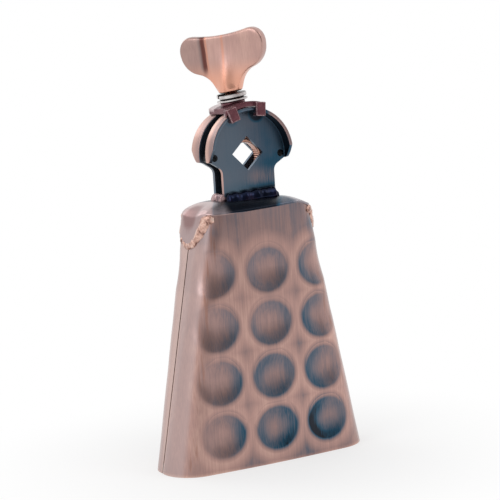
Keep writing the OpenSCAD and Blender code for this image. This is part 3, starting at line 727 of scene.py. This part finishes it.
plate_dark = copper("dark_copper", plate_patina, plate_tint, 0.12, 0.15, 0.15)
join_r = flange_r - flange_t - flange_fillet_r
flange_start = radians(90 - flange_reach)
slope = sin(radians(shoulder_slope)) / cos(radians(shoulder_slope))
flange_end_x, flange_end_z = flange_r * cos(flange_start), flange_r * sin(flange_start)
shoulder_turn = radians(90 - shoulder_slope)
meet_x = neck_half + neck_fillet_r * (1 - cos(shoulder_turn))
meet_z = flange_end_z - (flange_end_x - meet_x) * slope
fillet_x, fillet_z = neck_half + neck_fillet_r, meet_z - neck_fillet_r * sin(shoulder_turn)
tip, lip = plate_t + flange_l, 0.5
for plate_name, plate_side in (("bracket_front_plate", -1), ("bracket_rear_plate", 1)):
    blank = bmesh.new()
    start = blank.verts.new((join_r * cos(flange_start), 0, join_r * sin(flange_start)))
    end = trace(blank, start, (
        ((0, 0, 0), 2 * flange_reach, arc_steps),
        (-meet_x, 0, meet_z),
        ((-fillet_x, 0, fillet_z), shoulder_slope - 90, 8),
        (-neck_half, 0, flat_z - hole_z), (neck_half, 0, flat_z - hole_z), (neck_half, 0, fillet_z),
        ((fillet_x, 0, fillet_z), shoulder_slope - 90, 8),
    ))
    blank.edges.new((end, start))
    corners = ((hole_half, 0, 0), (0, 0, hole_half), (-hole_half, 0, 0), (0, 0, -hole_half))
    diamond = [blank.verts.new(corner) for corner in corners]
    for k in range(4):
        blank.edges.new((diamond[k - 1], diamond[k]))
    bmesh.ops.triangle_fill(blank, use_beauty=True, edges=blank.edges[:])
    face_out(blank)
    draw_out(blank, (0, -plate_t, 0))
    blank.normal_update()
    rim = [
        f for f in blank.faces
        if abs(f.normal.y) < 0.5 and all(abs(v.co.xz.length - join_r) < 0.01 for v in f.verts)
    ]
    bmesh.ops.delete(blank, geom=rim, context="FACES_ONLY")
    # The flange's section goes from the plate's back round the bend to its tip and down to the plate's front.
    section = bmesh.new()
    trace(section, section.verts.new((join_r, 0, 0)), (
        (flange_r - flange_bend_r, 0, 0),
        ((flange_r - flange_bend_r, -flange_bend_r, 0), 90, 4),
        *((flange_r, -depth, 0) for depth in (2.2, 3.7, 5.2, 6.7, 8.2, tip - lip)),
        ((flange_r - lip, -tip + lip, 0), 90, 3),
        (flange_r - flange_t + lip, -tip, 0),
        ((flange_r - flange_t + lip, -tip + lip, 0), 90, 3),
        (flange_r - flange_t, -plate_t - flange_fillet_r, 0),
        ((join_r, -plate_t - flange_fillet_r, 0), -90, 3),
    ), (0, 0, -1))
    bmesh.ops.rotate(section, verts=section.verts, matrix=Matrix.Rotation(-flange_start, 3, "Y"))
    outline = section.verts[:] + section.edges[:]
    bmesh.ops.spin(section, geom=outline, axis=(0, -1, 0), angle=radians(2 * flange_reach), steps=arc_steps)
    take_in(blank, section)
    bmesh.ops.remove_doubles(blank, verts=blank.verts, dist=0.01)
    bmesh.ops.holes_fill(blank, edges=[e for e in blank.edges if e.is_boundary], sides=0)
    face_out(blank)
    # Its corners are slanted off at both ends, and each end follows the slope of the shoulder.
    for v in blank.verts:
        out, turn = v.co.xz.length, abs(atan2(v.co.x, v.co.z))
        if out > join_r - 0.02:
            from_end = (radians(flange_reach) - turn) * flange_r
            back = clamp(1 - from_end / flange_corner_l, 0, 1)
            if -v.co.y > plate_t:
                cut = flange_corner_d * lerp(back, 1 - sqrt(1 - back**2), 0.2) / flange_l
                v.co.y = -plate_t + (v.co.y + plate_t) * (1 - cut)
            v.co.z -= smoothstep(6, 0, from_end) * (flange_r - out) * (slope - 0.14)
    rounded = set(round_off(blank, 40, 0.35))
    worn = {v for f in rounded for v in f.verts}
    flats = [f for f in blank.faces if abs(f.normal.y) > 0.99 and f not in rounded]
    bmesh.ops.inset_region(blank, faces=flats, thickness=0.5, depth=0, use_even_offset=True)
    edge_mark = blank.verts.layers.float.new("edge")
    for v in blank.verts:
        out, depth = v.co.xz.length, -v.co.y
        above = v.co.z > meet_z
        outside = smoothstep(flange_r - 0.5, flange_r - 0.1, out) if above else 0
        rub = 1 - 0.65 * smoothstep(0.3, 0.7, depth / tip)
        if plate_side > 0:
            rub = lerp(0.4, 0.85, smoothstep(0.1, 0.8, depth / tip))
        v[edge_mark] = max(outside * rub, 0.5 if v in worn and out < join_r - 0.5 else 0)
        # Painted highlight: the flange's tip face is lighter towards the right.
        if depth > tip - 0.3:
            v[edge_mark] = max(v[edge_mark], 0.5 * smoothstep(2, 16, v.co.x))
        # Painted highlight: the front plate's left side face below the flange is lighter.
        elif plate_side < 0 and v.co.x < 0.3 - neck_half and v.co.z < meet_z - 1:
            v[edge_mark] = 0.75 if 0.05 < depth < plate_t - 0.05 else 0
        # Inside the flanges, from the middle rightwards, the patina is deepened with painted shade.
        elif depth > plate_t + 0.05 and out < flange_r - flange_t + 0.2:
            v[edge_mark] = -0.4 * smoothstep(-8, 4, v.co.x)
    if plate_side > 0:
        bmesh.ops.reverse_faces(blank, faces=blank.faces)
    stand = Matrix.Diagonal((1, -plate_side, 1, 1)) @ Matrix.Translation((0, -plate_back, hole_z))
    plate = put_in(blank, plate_name + "_skin", plate_dark, 30, stand)
    plate.modifiers.new("even_flats", "WEIGHTED_NORMAL").keep_sharp = True
    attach(plate, "bell")
    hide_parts(plate_name)


# Foot welds: arc welds along the front and rear of the plates and across both ends, left as they froze.
# Dark and glassy under the lacquer, with a wavy top edge.
weld_r, weld_h, end_weld_r, weld_climb_h = 4.0, 5.6, 2.8, 1.1
weld_steps = 64
weld_dark = tarnish("weld_dark", (
    (0.25, (0.001, 0.003, 0.012)), (0.55, (0.003, 0.007, 0.028)), (0.75, (0.018, 0.006, 0.018)),
    (0.95, (0.06, 0.04, 0.05)),
), 70, 0.2, 0.12, 0.95, coat=0.15)
weld_rosy = tarnish("weld_rosy", (
    (0.2, (0.02, 0.010, 0.022)), (0.42, (0.16, 0.085, 0.1)), (0.6, (0.42, 0.27, 0.27)), (0.85, (0.58, 0.44, 0.43)),
), 260, 0.34, 0.4, coat=0.4)
for weld_name, weld_side, weld_is_long in (
    ("front_foot_weld", -1, True), ("rear_foot_weld", 1, True),
    ("left_foot_weld", -1, False), ("right_foot_weld", 1, False),
):
    weld_path, weld_out, weld_sizes = [], [], []
    for k in range(weld_steps + 1):
        across = lerp(-1, 1, k / weld_steps)
        size = weld_r if weld_is_long else end_weld_r
        if weld_is_long:
            weld_path.append(Vector((across * (neck_half - 0.6), weld_side * (plate_face + weld_r / 4), flat_z)))
            weld_out.append(Vector((0, weld_side, 0.6)))
        else:
            weld_path.append(Vector((weld_side * (neck_half - 0.2), across * plate_face, flat_z)))
            weld_out.append(Vector((weld_side, 0, 0.6)))
        ripple = 1.0 + 0.13 * noise.noise((k / 7, weld_side * 3, weld_is_long * 5))
        weld_sizes.append(size * ripple * (1 - 0.5 * smoothstep(0.92, 1, abs(across))))
    run = bmesh.new()
    run_bead(run, weld_path, weld_out, weld_sizes, 20)
    melt(run, 0.22 if weld_is_long else 0.45, 4.2 if weld_is_long else 2.6, weld_side * 11 + weld_is_long)
    for v in run.verts:
        v.co.z = max(v.co.z, flat_z - 0.8)
        v.co.z = lerp(flat_z, v.co.z, weld_h / weld_r)
        if weld_is_long:
            v.co.y = weld_side * max(abs(v.co.y), plate_face - 0.8)
            v.co.z += weld_climb_h * v.co.x / neck_half
        else:
            v.co.x = weld_side * max(abs(v.co.x), neck_half - 2.5)
    weld = put_in(run, weld_name + "_run", weld_rosy if weld_name == "left_foot_weld" else weld_dark, 180)
    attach(weld, "bell")
    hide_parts(weld_name)


# Spacer rivets: shouldered steel rivets that tie the plates at the ends of their flanges.
# The barrel keeps the plates apart; the heads are set over outside and blackened.
rivet_ring_r, rivet_turn = 22.0, radians(flange_reach - 4.4)
rivet_x, rivet_z = rivet_ring_r * sin(rivet_turn), hole_z + rivet_ring_r * cos(rivet_turn)
rivet_r, rivet_head_r, rivet_head_h, rivet_barrel_r = 1.6, 2.1, 0.9, 3.0
rivet_end = plate_face + rivet_head_h


def turn_up(bm, profile, steps=48):
    """Spins a closed profile of radius and height into a turned piece."""
    verts = [bm.verts.new((r, 0, z)) for r, z in profile]
    edges = [bm.edges.new((verts[k - 1], verts[k])) for k in range(len(verts))]
    bmesh.ops.spin(bm, geom=verts + edges, axis=(0, 0, 1), angle=2 * pi, steps=steps, use_merge=True)
    bmesh.ops.remove_doubles(bm, verts=bm.verts, dist=0.001)
    bmesh.ops.dissolve_degenerate(bm, edges=bm.edges, dist=0.0005)
    face_out(bm)


rivet_black = tarnish("rivet_black", (
    (0.4, (0.002, 0.002, 0.003)), (0.65, (0.01, 0.01, 0.013)), (0.9, (0.12, 0.1, 0.1)),
), 420, 0.4, 0.3, 0.9, coat=0.1)
for rivet_name, rivet_side in (("left_spacer_rivet", -1), ("right_spacer_rivet", 1)):
    pin = bmesh.new()
    upper = [
        (rivet_barrel_r, 0), (rivet_barrel_r, plate_back), (rivet_r, plate_back), (rivet_r, plate_face),
        *((rivet_head_r * cos(a * pi / 12), plate_face + rivet_head_h * sin(a * pi / 12)) for a in range(6)),
        (0.9, rivet_end - 0.1), (0.45, rivet_end - 0.35), (0, rivet_end - 0.4),
    ]
    turn_up(pin, upper + [(r, -z) for r, z in reversed(upper[1:])], 32)
    stand = Matrix.Translation((rivet_side * rivet_x, 0, rivet_z)) @ Matrix.Rotation(pi / 2, 4, "X")
    rivet = put_in(pin, rivet_name + "_pin", rivet_black, 35, stand)
    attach(rivet, "bell")
    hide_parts(rivet_name)


# Saddle: a cast plate curved to the flanges, with a flat seat on top and two claws that hook under the front flange.
# Stained maroon copper, rubbed bright on its edges and its rounded rear end.
clamp_lean, slide_gap = 8, 0.4
claw_face = plate_face + flange_l + slide_gap
saddle_r, saddle_t, saddle_reach, rear_round = flange_r + slide_gap, 3.0, 20.5, 3.0
seat_r, seat_z = 7.2, saddle_r + saddle_t + 1.0
claw_w, claw_t, claw_angle, claw_splay, claw_bar_l, toe_l = 6.2, 2.0, 19.6, 12, 4.0, 3.0
shank_hole_r = 4.4
on_clamp = Matrix.Translation((0, 0, hole_z)) @ Matrix.Rotation(radians(-clamp_lean), 4, "Y")


def baked(piece, modifier):
    """The mesh that a modifier makes of a piece; the modifier is taken off again."""
    mesh = bpy.data.meshes.new_from_object(piece.evaluated_get(bpy.context.evaluated_depsgraph_get()))
    piece.modifiers.remove(modifier)
    return mesh


def bored(piece, radius, low, high):
    """Cuts a round hole along the clamp's axis through a piece."""
    drill = bmesh.new()
    bmesh.ops.create_cone(drill, cap_ends=True, segments=64, radius1=radius, radius2=radius, depth=high - low)
    middle = on_clamp @ Matrix.Translation((0, 0, (low + high) / 2))
    bit = put_in(drill, "drill", piece.data.materials[0], place=middle)
    cut = piece.modifiers.new("bore", "BOOLEAN")
    cut.object, cut.operation, cut.solver, cut.use_self = bit, "DIFFERENCE", "EXACT", True
    whole, old, bit_mesh = baked(piece, cut), piece.data, bit.data
    piece.data = whole
    whole.name = piece.name
    bpy.data.meshes.remove(old)
    bpy.data.objects.remove(bit)
    bpy.data.meshes.remove(bit_mesh)


saddle_maroon, place = bare_material("saddle_copper")
sand, cloud = grain(place, 1100, 3, 0.6), grain(place, 200, 3)
cast_skin = colour_ramp(cloud * 0.8 + sand * 0.5 - 0.15, ((0.3, (0.085, 0.022, 0.033)), (0.75, (0.2, 0.07, 0.085))))
rub = ((sand - 0.5) * 0.7 + marked(place, "edge")).ramp(0.35, 0.8)
metal(place.tree, sand, 0.3, 0.12, {
    "Base Color": cast_skin.toward(rub, (0.5, 0.38, 0.385, 1)), "Roughness": rub * -0.12 + 0.42, "Metallic": 0.8,
    "Coat Weight": 0.3, "Coat Roughness": 0.15,
})
casting = bmesh.new()
edge_mark = casting.verts.layers.float.new("edge")
claw_reach = claw_angle + degrees(asin(claw_w / 2 / (saddle_r + saddle_t)))
bmesh.ops.create_grid(casting, x_segments=48, y_segments=64, size=1)
for v in casting.verts:
    y = lerp(-claw_face, claw_face, (v.co.y + 1) / 2)
    from_front, from_rear = y + claw_face, claw_face - y
    half = lerp(claw_reach, saddle_reach, smoothstep(claw_bar_l - 0.8, claw_bar_l + 0.8, from_front))
    if from_rear < rear_round:
        half -= degrees((rear_round - sqrt(rear_round**2 - (rear_round - from_rear) ** 2)) / saddle_r)
    turn = radians(half * v.co.x)
    v.co = ((saddle_r + saddle_t) * sin(turn), y, (saddle_r + saddle_t) * cos(turn))
bmesh.ops.solidify(casting, geom=casting.faces[:], thickness=saddle_t)
round_off(casting, 55, 0.8, 3)
for v in casting.verts:
    out = v.co.xz.length
    is_edge = out > saddle_r + 0.3 and v.co.y > 2 - claw_face
    v[edge_mark] = 0.9 if is_edge and (v.co.y > 5 or out < saddle_r + saddle_t - 0.1) else 0.1
boss = bmesh.new()
turn_up(boss, [
    (0, saddle_r + 1), (seat_r, saddle_r + 1), (seat_r, seat_z - 0.4), (seat_r - 0.4, seat_z), (0, seat_z),
])
claw_pivot = saddle_r + saddle_t / 2
askew = claw_w / 2 * sin(radians(claw_angle - claw_splay))
toe_top = sqrt((flange_r - flange_t) ** 2 - (claw_w / 2) ** 2) - slide_gap - askew
toe_low, root_low, root_top = toe_top - claw_t, saddle_r + saddle_t * 0.2, saddle_r + saddle_t * 0.95
claw_front = -claw_face - claw_t
hook = (
    (claw_front, toe_low), (claw_front + claw_t + toe_l, toe_low), (claw_front + claw_t + toe_l, toe_top),
    (-claw_face, toe_top), (-claw_face, root_low), (-claw_face + claw_t, root_low),
    (-claw_face + claw_t, root_top), (claw_front, root_top),
)
for claw_side in (-1, 1):
    claw = bmesh.new()
    rub_mark = claw.verts.layers.float.new("edge")
    claw.faces.new([claw.verts.new((-claw_w / 2, y, z)) for y, z in hook])
    draw_out(claw, (claw_w, 0, 0))
    face_out(claw)
    rounded = set(round_off(claw, 40, 0.55, 3))
    worn = {v for f in rounded for v in f.verts}
    bmesh.ops.inset_individual(claw, faces=[f for f in claw.faces if f not in rounded], thickness=0.5)
    for v in claw.verts:
        v[rub_mark] = 0.5 if v in worn else 0
    hang = Matrix.Rotation(radians(claw_side * claw_splay), 3, "Y")
    bmesh.ops.rotate(claw, verts=claw.verts, cent=(0, 0, claw_pivot), matrix=hang)
    aside, sunk = sin(radians(claw_angle)), cos(radians(claw_angle)) - 1
    bmesh.ops.translate(claw, verts=claw.verts, vec=(claw_side * claw_pivot * aside, 0, claw_pivot * sunk))
    take_in(casting, claw)
take_in(casting, boss)
saddle = put_in(casting, "clamp_saddle_casting", saddle_maroon, 35, on_clamp)
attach(saddle, "clamp")
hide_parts("clamp_saddle")


# Eye bolt: a forged ring round the rod, between the plates, with a threaded shank up through the saddle.
# Smooth copper with a rounded lip; its bore is cut with ribs, except at the top, that grip the rod.
eye_bore_r, eye_r, eye_drop, eye_half_l, eye_round, eye_lip = 8.7, 12.0, 2.4, 3.6, 1.5, 0.9
rib_count, rib_depth = 42, 0.45
shank_r, shank_end, thread_pitch, thread_depth = 4.0, 43.8, 1.25, 0.55
eye_top = eye_r - eye_drop


def eye_patina(place):
    """Middling copper with darker clouds."""
    return grain(place, 160, 3) * 0.35 + 0.1


def eye_tint(_, tone):
    """Orange, as bare copper."""
    return tone.toward(0.6, (0.5, 0.235, 0.145, 1))


def quarter(steps):
    """Sine and cosine at even steps of a quarter turn."""
    return [(sin(k * pi / 2 / steps), cos(k * pi / 2 / steps)) for k in range(steps + 1)]


ring = bmesh.new()
half_ring = [(eye_r - eye_round * (1 - c), eye_half_l - eye_round * (1 - s)) for s, c in quarter(6)]
half_ring += [(eye_bore_r + eye_lip * (1 - s), eye_half_l - eye_lip * (1 - c)) for s, c in quarter(4)]
turn_up(ring, half_ring + [(r, -z) for r, z in reversed(half_ring)], 252)
bmesh.ops.rotate(ring, verts=ring.verts, matrix=Matrix.Rotation(pi / 2, 3, "X"))
for v in ring.verts:
    if v.co.xz.length < eye_bore_r + 0.05:
        turn = atan2(v.co.z, v.co.x)
        rib = rib_depth * (0.5 + 0.5 * cos(turn * rib_count)) * smoothstep(0.45, 0.3, sin(turn))
        v.co.xz = v.co.xz * ((eye_bore_r + rib) / v.co.xz.length)
bmesh.ops.translate(ring, verts=ring.verts, vec=(0, 0, -eye_drop))
shank = bmesh.new()
bmesh.ops.create_grid(shank, x_segments=48, y_segments=208, size=1)
for v in shank.verts:
    turn, z = pi * (1 - v.co.x), lerp(eye_top - 2, shank_end, (v.co.y + 1) / 2)
    phase = (z / thread_pitch + turn / (2 * pi)) % 1
    depth = thread_depth * abs(2 * phase - 1) * smoothstep(eye_top, eye_top + 2, z)
    r = shank_r - max(depth, z - shank_end + 0.8)
    v.co = (r * cos(turn), r * sin(turn), z)
bmesh.ops.remove_doubles(shank, verts=shank.verts, dist=0.001)
bmesh.ops.holes_fill(shank, edges=[e for e in shank.edges if e.is_boundary], sides=0)
face_out(shank)
take_in(ring, shank)
eye_copper = copper("bolt_copper", eye_patina, eye_tint, 0.2)
eye = put_in(ring, "eye_bolt_forging", eye_copper, 35, on_clamp)
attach(eye, "eye")
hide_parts("eye_bolt")
bored(saddle, shank_hole_r, saddle_r - 4, seat_z + 4)


# Washers: a flat washer on the saddle's seat and a split spring washer over it, both bright zinc on steel, with
# painted shade on their faces so that the gaps between them look black.
# The spring washer is a coil of square wire, its cut ends a little apart.
washer_r, washer_t, lock_r, lock_t, soft = 9.1, 1.8, 8.8, 3.2, 0.5
washer_z = seat_z + washer_t
wire_h, coil_start, coil_turn, coil_steps = 2.4, 185, 352, 96
zinc_silver, place = bare_material("zinc_silver")
tarnished = grain(place, 260, 4)
zinc_tone = colour_ramp(tarnished, ((0.3, (0.42, 0.38, 0.38)), (0.5, (0.6, 0.56, 0.55)), (0.7, (0.72, 0.69, 0.68))))
turned_lines = grain(place, 2600, stretch=(0.15, 0.15, 1))
# The gap shade mark paints the washers' faces nearly black, a painted shade for the gaps between them.
metal(place.tree, turned_lines, 0.06, 0.05, {
    "Base Color": zinc_tone.toward(marked(place, "gap_shade"), (0.012, 0.01, 0.01, 1)),
    "Roughness": tarnished * 0.2 + 0.2, "Metallic": 0.95,
})
disc = bmesh.new()
turn_up(disc, [
    (shank_hole_r, seat_z + soft), (shank_hole_r + soft, seat_z), (seat_r, seat_z), (washer_r - 0.2, seat_z + 0.2),
    (washer_r, seat_z + 0.4), (washer_r, seat_z + 1.0), (washer_r - 0.2, seat_z + 1.2), (seat_r, seat_z + 1.3),
    (seat_r - soft, washer_z), (shank_hole_r + soft, washer_z), (shank_hole_r, washer_z - soft),
], 96)
# Painted shade: the flat washer is dark inside its rim.
gap_shade_mark = disc.verts.layers.float.new("gap_shade")
for v in disc.verts:
    v[gap_shade_mark] = smoothstep(washer_r - 0.1, washer_r - 0.6, v.co.xy.length)
washer = put_in(disc, "flat_washer_disc", zinc_silver, 30, on_clamp)
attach(washer, "clamp")
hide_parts("flat_washer")

coil = bmesh.new()
wire = [coil.verts.new((r, 0, washer_z + z)) for r, z in (
    (shank_hole_r, soft), (shank_hole_r + soft, 0), (lock_r - soft, 0), (lock_r, soft),
    (lock_r, wire_h - soft), (lock_r - soft, wire_h), (shank_hole_r + soft, wire_h), (shank_hole_r, wire_h - soft),
)]
start_face = coil.faces.new(wire)
bmesh.ops.spin(
    coil, geom=[start_face, *start_face.edges, *wire], axis=(0, 0, 1), angle=radians(coil_turn),
    steps=coil_steps, dvec=(0, 0, (lock_t - wire_h) / coil_steps),
)
face_out(coil)
# Painted shade: the spring washer is dark inside its rim.
gap_shade_mark = coil.verts.layers.float.new("gap_shade")
for v in coil.verts:
    v[gap_shade_mark] = smoothstep(lock_r - 0.05, lock_r - 0.5, v.co.xy.length)
opening = Matrix.Rotation(radians(coil_start), 4, "Z")
lock = put_in(coil, "lock_washer_coil", zinc_silver, 30, on_clamp @ opening)
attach(lock, "clamp")
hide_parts("lock_washer")


# Wing nut: one tall casting, a round hub that runs out into two broad lobes for the fingers.
# Polished copper, brushed upright and lacquered, with painted reflections and painted shade on its front.
nut_gap, wing_turn = 0.4, 57
nut_z = washer_z + lock_t + nut_gap
hub_r, hub_top_r, hub_end_r, hub_h, hub_taper_h = 7.5, 7.2, 2.4, 8.0, 14.0
nut_bore_r, nut_bore_l = 4.05, 14.2
wing_half_w, lobe_h, lobe_top_r, lobe_side_l, lobe_low_r = 27.8, 25.4, 8.0, 1.7, 13.4
wing_fillet_r, wing_foot_h, wing_dip, wing_t, wing_round = 14.6, 1.0, 1.7, 6.0, 2.4
bulge_h, stripe_slant = 30.0, 0.047


def wing_patina(place):
    """Pale copper with upright clouds."""
    return grain(place, 90, 3, stretch=(1, 1, 0.3)) * 0.28 + 0.04


def wing_tint(place, tone):
    """Warmer at the foot, with painted reflections: a dark brown slanted stripe on the left lobe with painted shade
    beside it and over the lobe, and a faint orange slanted stripe in the middle.
    """
    low = axes_of(place)["Z"].ramp(0.238, 0.223, 0, 0.92)
    warm = tone.toward(low, (0.8, 0.39, 0.27, 1)).toward(marked(place, "orange_reflection"), (0.56, 0.25, 0.17, 1))
    shaded = warm.toward(marked(place, "shade"), (0.16, 0.13, 0.13, 1))
    return shaded.toward(marked(place, "dark_reflection"), (0.11, 0.022, 0.014, 1))


wing_bm = bmesh.new()
upper_x, upper_z, lower_x = wing_half_w - lobe_top_r, lobe_h + lobe_side_l, wing_half_w - lobe_low_r
fillet_x = hub_top_r + wing_fillet_r
fillet_z = lobe_h - sqrt((lobe_low_r + wing_fillet_r) ** 2 - (lower_x - fillet_x) ** 2)
dip_r = (upper_x**2 + wing_dip**2) / (2 * wing_dip) - lobe_top_r
dip_z = upper_z + lobe_top_r - wing_dip + dip_r
foot_turn = 180 - degrees(asin(max(0, wing_foot_h - fillet_z) / wing_fillet_r))
to_fillet = degrees(atan2(fillet_z - lobe_h, fillet_x - lower_x))
to_dip = degrees(atan2(dip_z - upper_z, -upper_x))
foot = wing_bm.verts.new((
    fillet_x + wing_fillet_r * cos(radians(foot_turn)), 0, fillet_z + wing_fillet_r * sin(radians(foot_turn)),
))
trace(wing_bm, foot, (
    ((fillet_x, 0, fillet_z), to_fillet + 180 - foot_turn, 16),
    ((lower_x, 0, lobe_h), -to_fillet, 16),
    (wing_half_w, 0, upper_z),
    ((upper_x, 0, upper_z), to_dip, 20),
    ((0, 0, dip_z), 90 - to_dip, 8),
))
trace(wing_bm, foot, [(0, 0, foot.co.z)])
bmesh.ops.mirror(wing_bm, geom=wing_bm.verts[:] + wing_bm.edges[:], matrix=Matrix(), merge_dist=0.01, axis="X")
bmesh.ops.edgeloop_fill(wing_bm, edges=wing_bm.edges[:])
draw_out(wing_bm, (0, wing_t, 0))
bmesh.ops.translate(wing_bm, verts=wing_bm.verts, vec=(0, -wing_t / 2, 0))
face_out(wing_bm)
round_off(wing_bm, 60, wing_round, 5)
hub_end = hub_h + hub_taper_h
hub_run = [(lerp(hub_top_r, hub_end_r, smoothstep(0, 8, k)), lerp(hub_h, hub_end, k / 8)) for k in range(9)]
turn_up(wing_bm, [(0, 0), (hub_r - 1.4, 0), (hub_r - 0.5, 0.5), (hub_r, 1.1), *hub_run, (0, hub_end)], 72)
wing_copper = copper("wing_copper", wing_patina, wing_tint, 0.35, 0.2, 0.5)
wing = put_in(wing_bm, "wing_nut_casting", wing_copper, 180)
fuse = wing.modifiers.new("fuse", "REMESH")
fuse.mode, fuse.voxel_size = "VOXEL", 0.42 * mm
fused = baked(wing, fuse)
blended = bmesh.new()
blended.from_mesh(fused)
bmesh.ops.scale(blended, verts=blended.verts, vec=(1 / mm, 1 / mm, 1 / mm))
for v in blended.verts:
    if abs(v.co.y) > wing_t / 2 - 0.3 and v.co.z > lobe_h - 14:
        off = min(Vector((abs(v.co.x) - upper_x + 2, v.co.z - lobe_h)).length / 11, 1)
        v.co.y += (0.5 if v.co.y > 0 else -0.5) * (1 - off**2)
    bulge = lerp(hub_r, wing_t / 2, smoothstep(0, bulge_h, v.co.z)) - wing_t / 2
    swell = bulge * exp(-((v.co.x / lerp(5.2, 9, v.co.z / bulge_h)) ** 2))
    sure = smoothstep(1.2, 2.8, abs(v.co.y)) * smoothstep(1, 5, v.co.z) * smoothstep(31, 27, v.co.z)
    v.co.y = lerp(v.co.y, (wing_t / 2 + swell) * (1 if v.co.y > 0 else -1), sure)
skin = [v for v in blended.verts if v.co.z > 0.6]
for _ in range(20):
    bmesh.ops.smooth_vert(blended, verts=skin, factor=0.5, use_axis_x=True, use_axis_y=True, use_axis_z=True)
dark_reflection_mark, shade_mark, orange_reflection_mark = (
    blended.verts.layers.float.new(name) for name in ("dark_reflection", "shade", "orange_reflection")
)
# Painted reflections and shade on the front face: the dark stripe, the shade beside it and over the left lobe, and
# the orange stripes.
for v in blended.verts:
    if v.co.y < 0:
        from_dark = v.co.x + 11.2 - (v.co.z - 34.2) * stripe_slant
        from_orange_reflection = abs(v.co.x - 1.9 - (v.co.z - 32.2) * stripe_slant)
        runs_down = smoothstep(10, 17, v.co.z)
        v[dark_reflection_mark] = 0.92 * runs_down * smoothstep(1.7, 1.3, from_dark) * smoothstep(-2.4, -0.6, from_dark)
        by_stripe = 0.75 * runs_down * smoothstep(0.8, 0.2, from_dark) * smoothstep(-5.5, -1.5, from_dark)
        v[shade_mark] = max(by_stripe, 0.34 * smoothstep(2, -2, from_dark))
        beside = 0.8 * runs_down * smoothstep(1.1, 0.3, abs(from_dark - 2.1))
        v[orange_reflection_mark] = max(0.7 * smoothstep(1.3, 0.2, from_orange_reflection), beside)
bpy.data.objects.remove(wing)
bpy.data.meshes.remove(fused)
stand = on_clamp @ Matrix.Translation((0, 0, nut_z)) @ Matrix.Rotation(radians(-wing_turn), 4, "Z")
wing = put_in(blended, "wing_nut_casting", wing_copper, 180, stand)
bored(wing, nut_bore_r, nut_z - 1, nut_z + nut_bore_l)
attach(wing, "wing")
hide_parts("wing_nut")
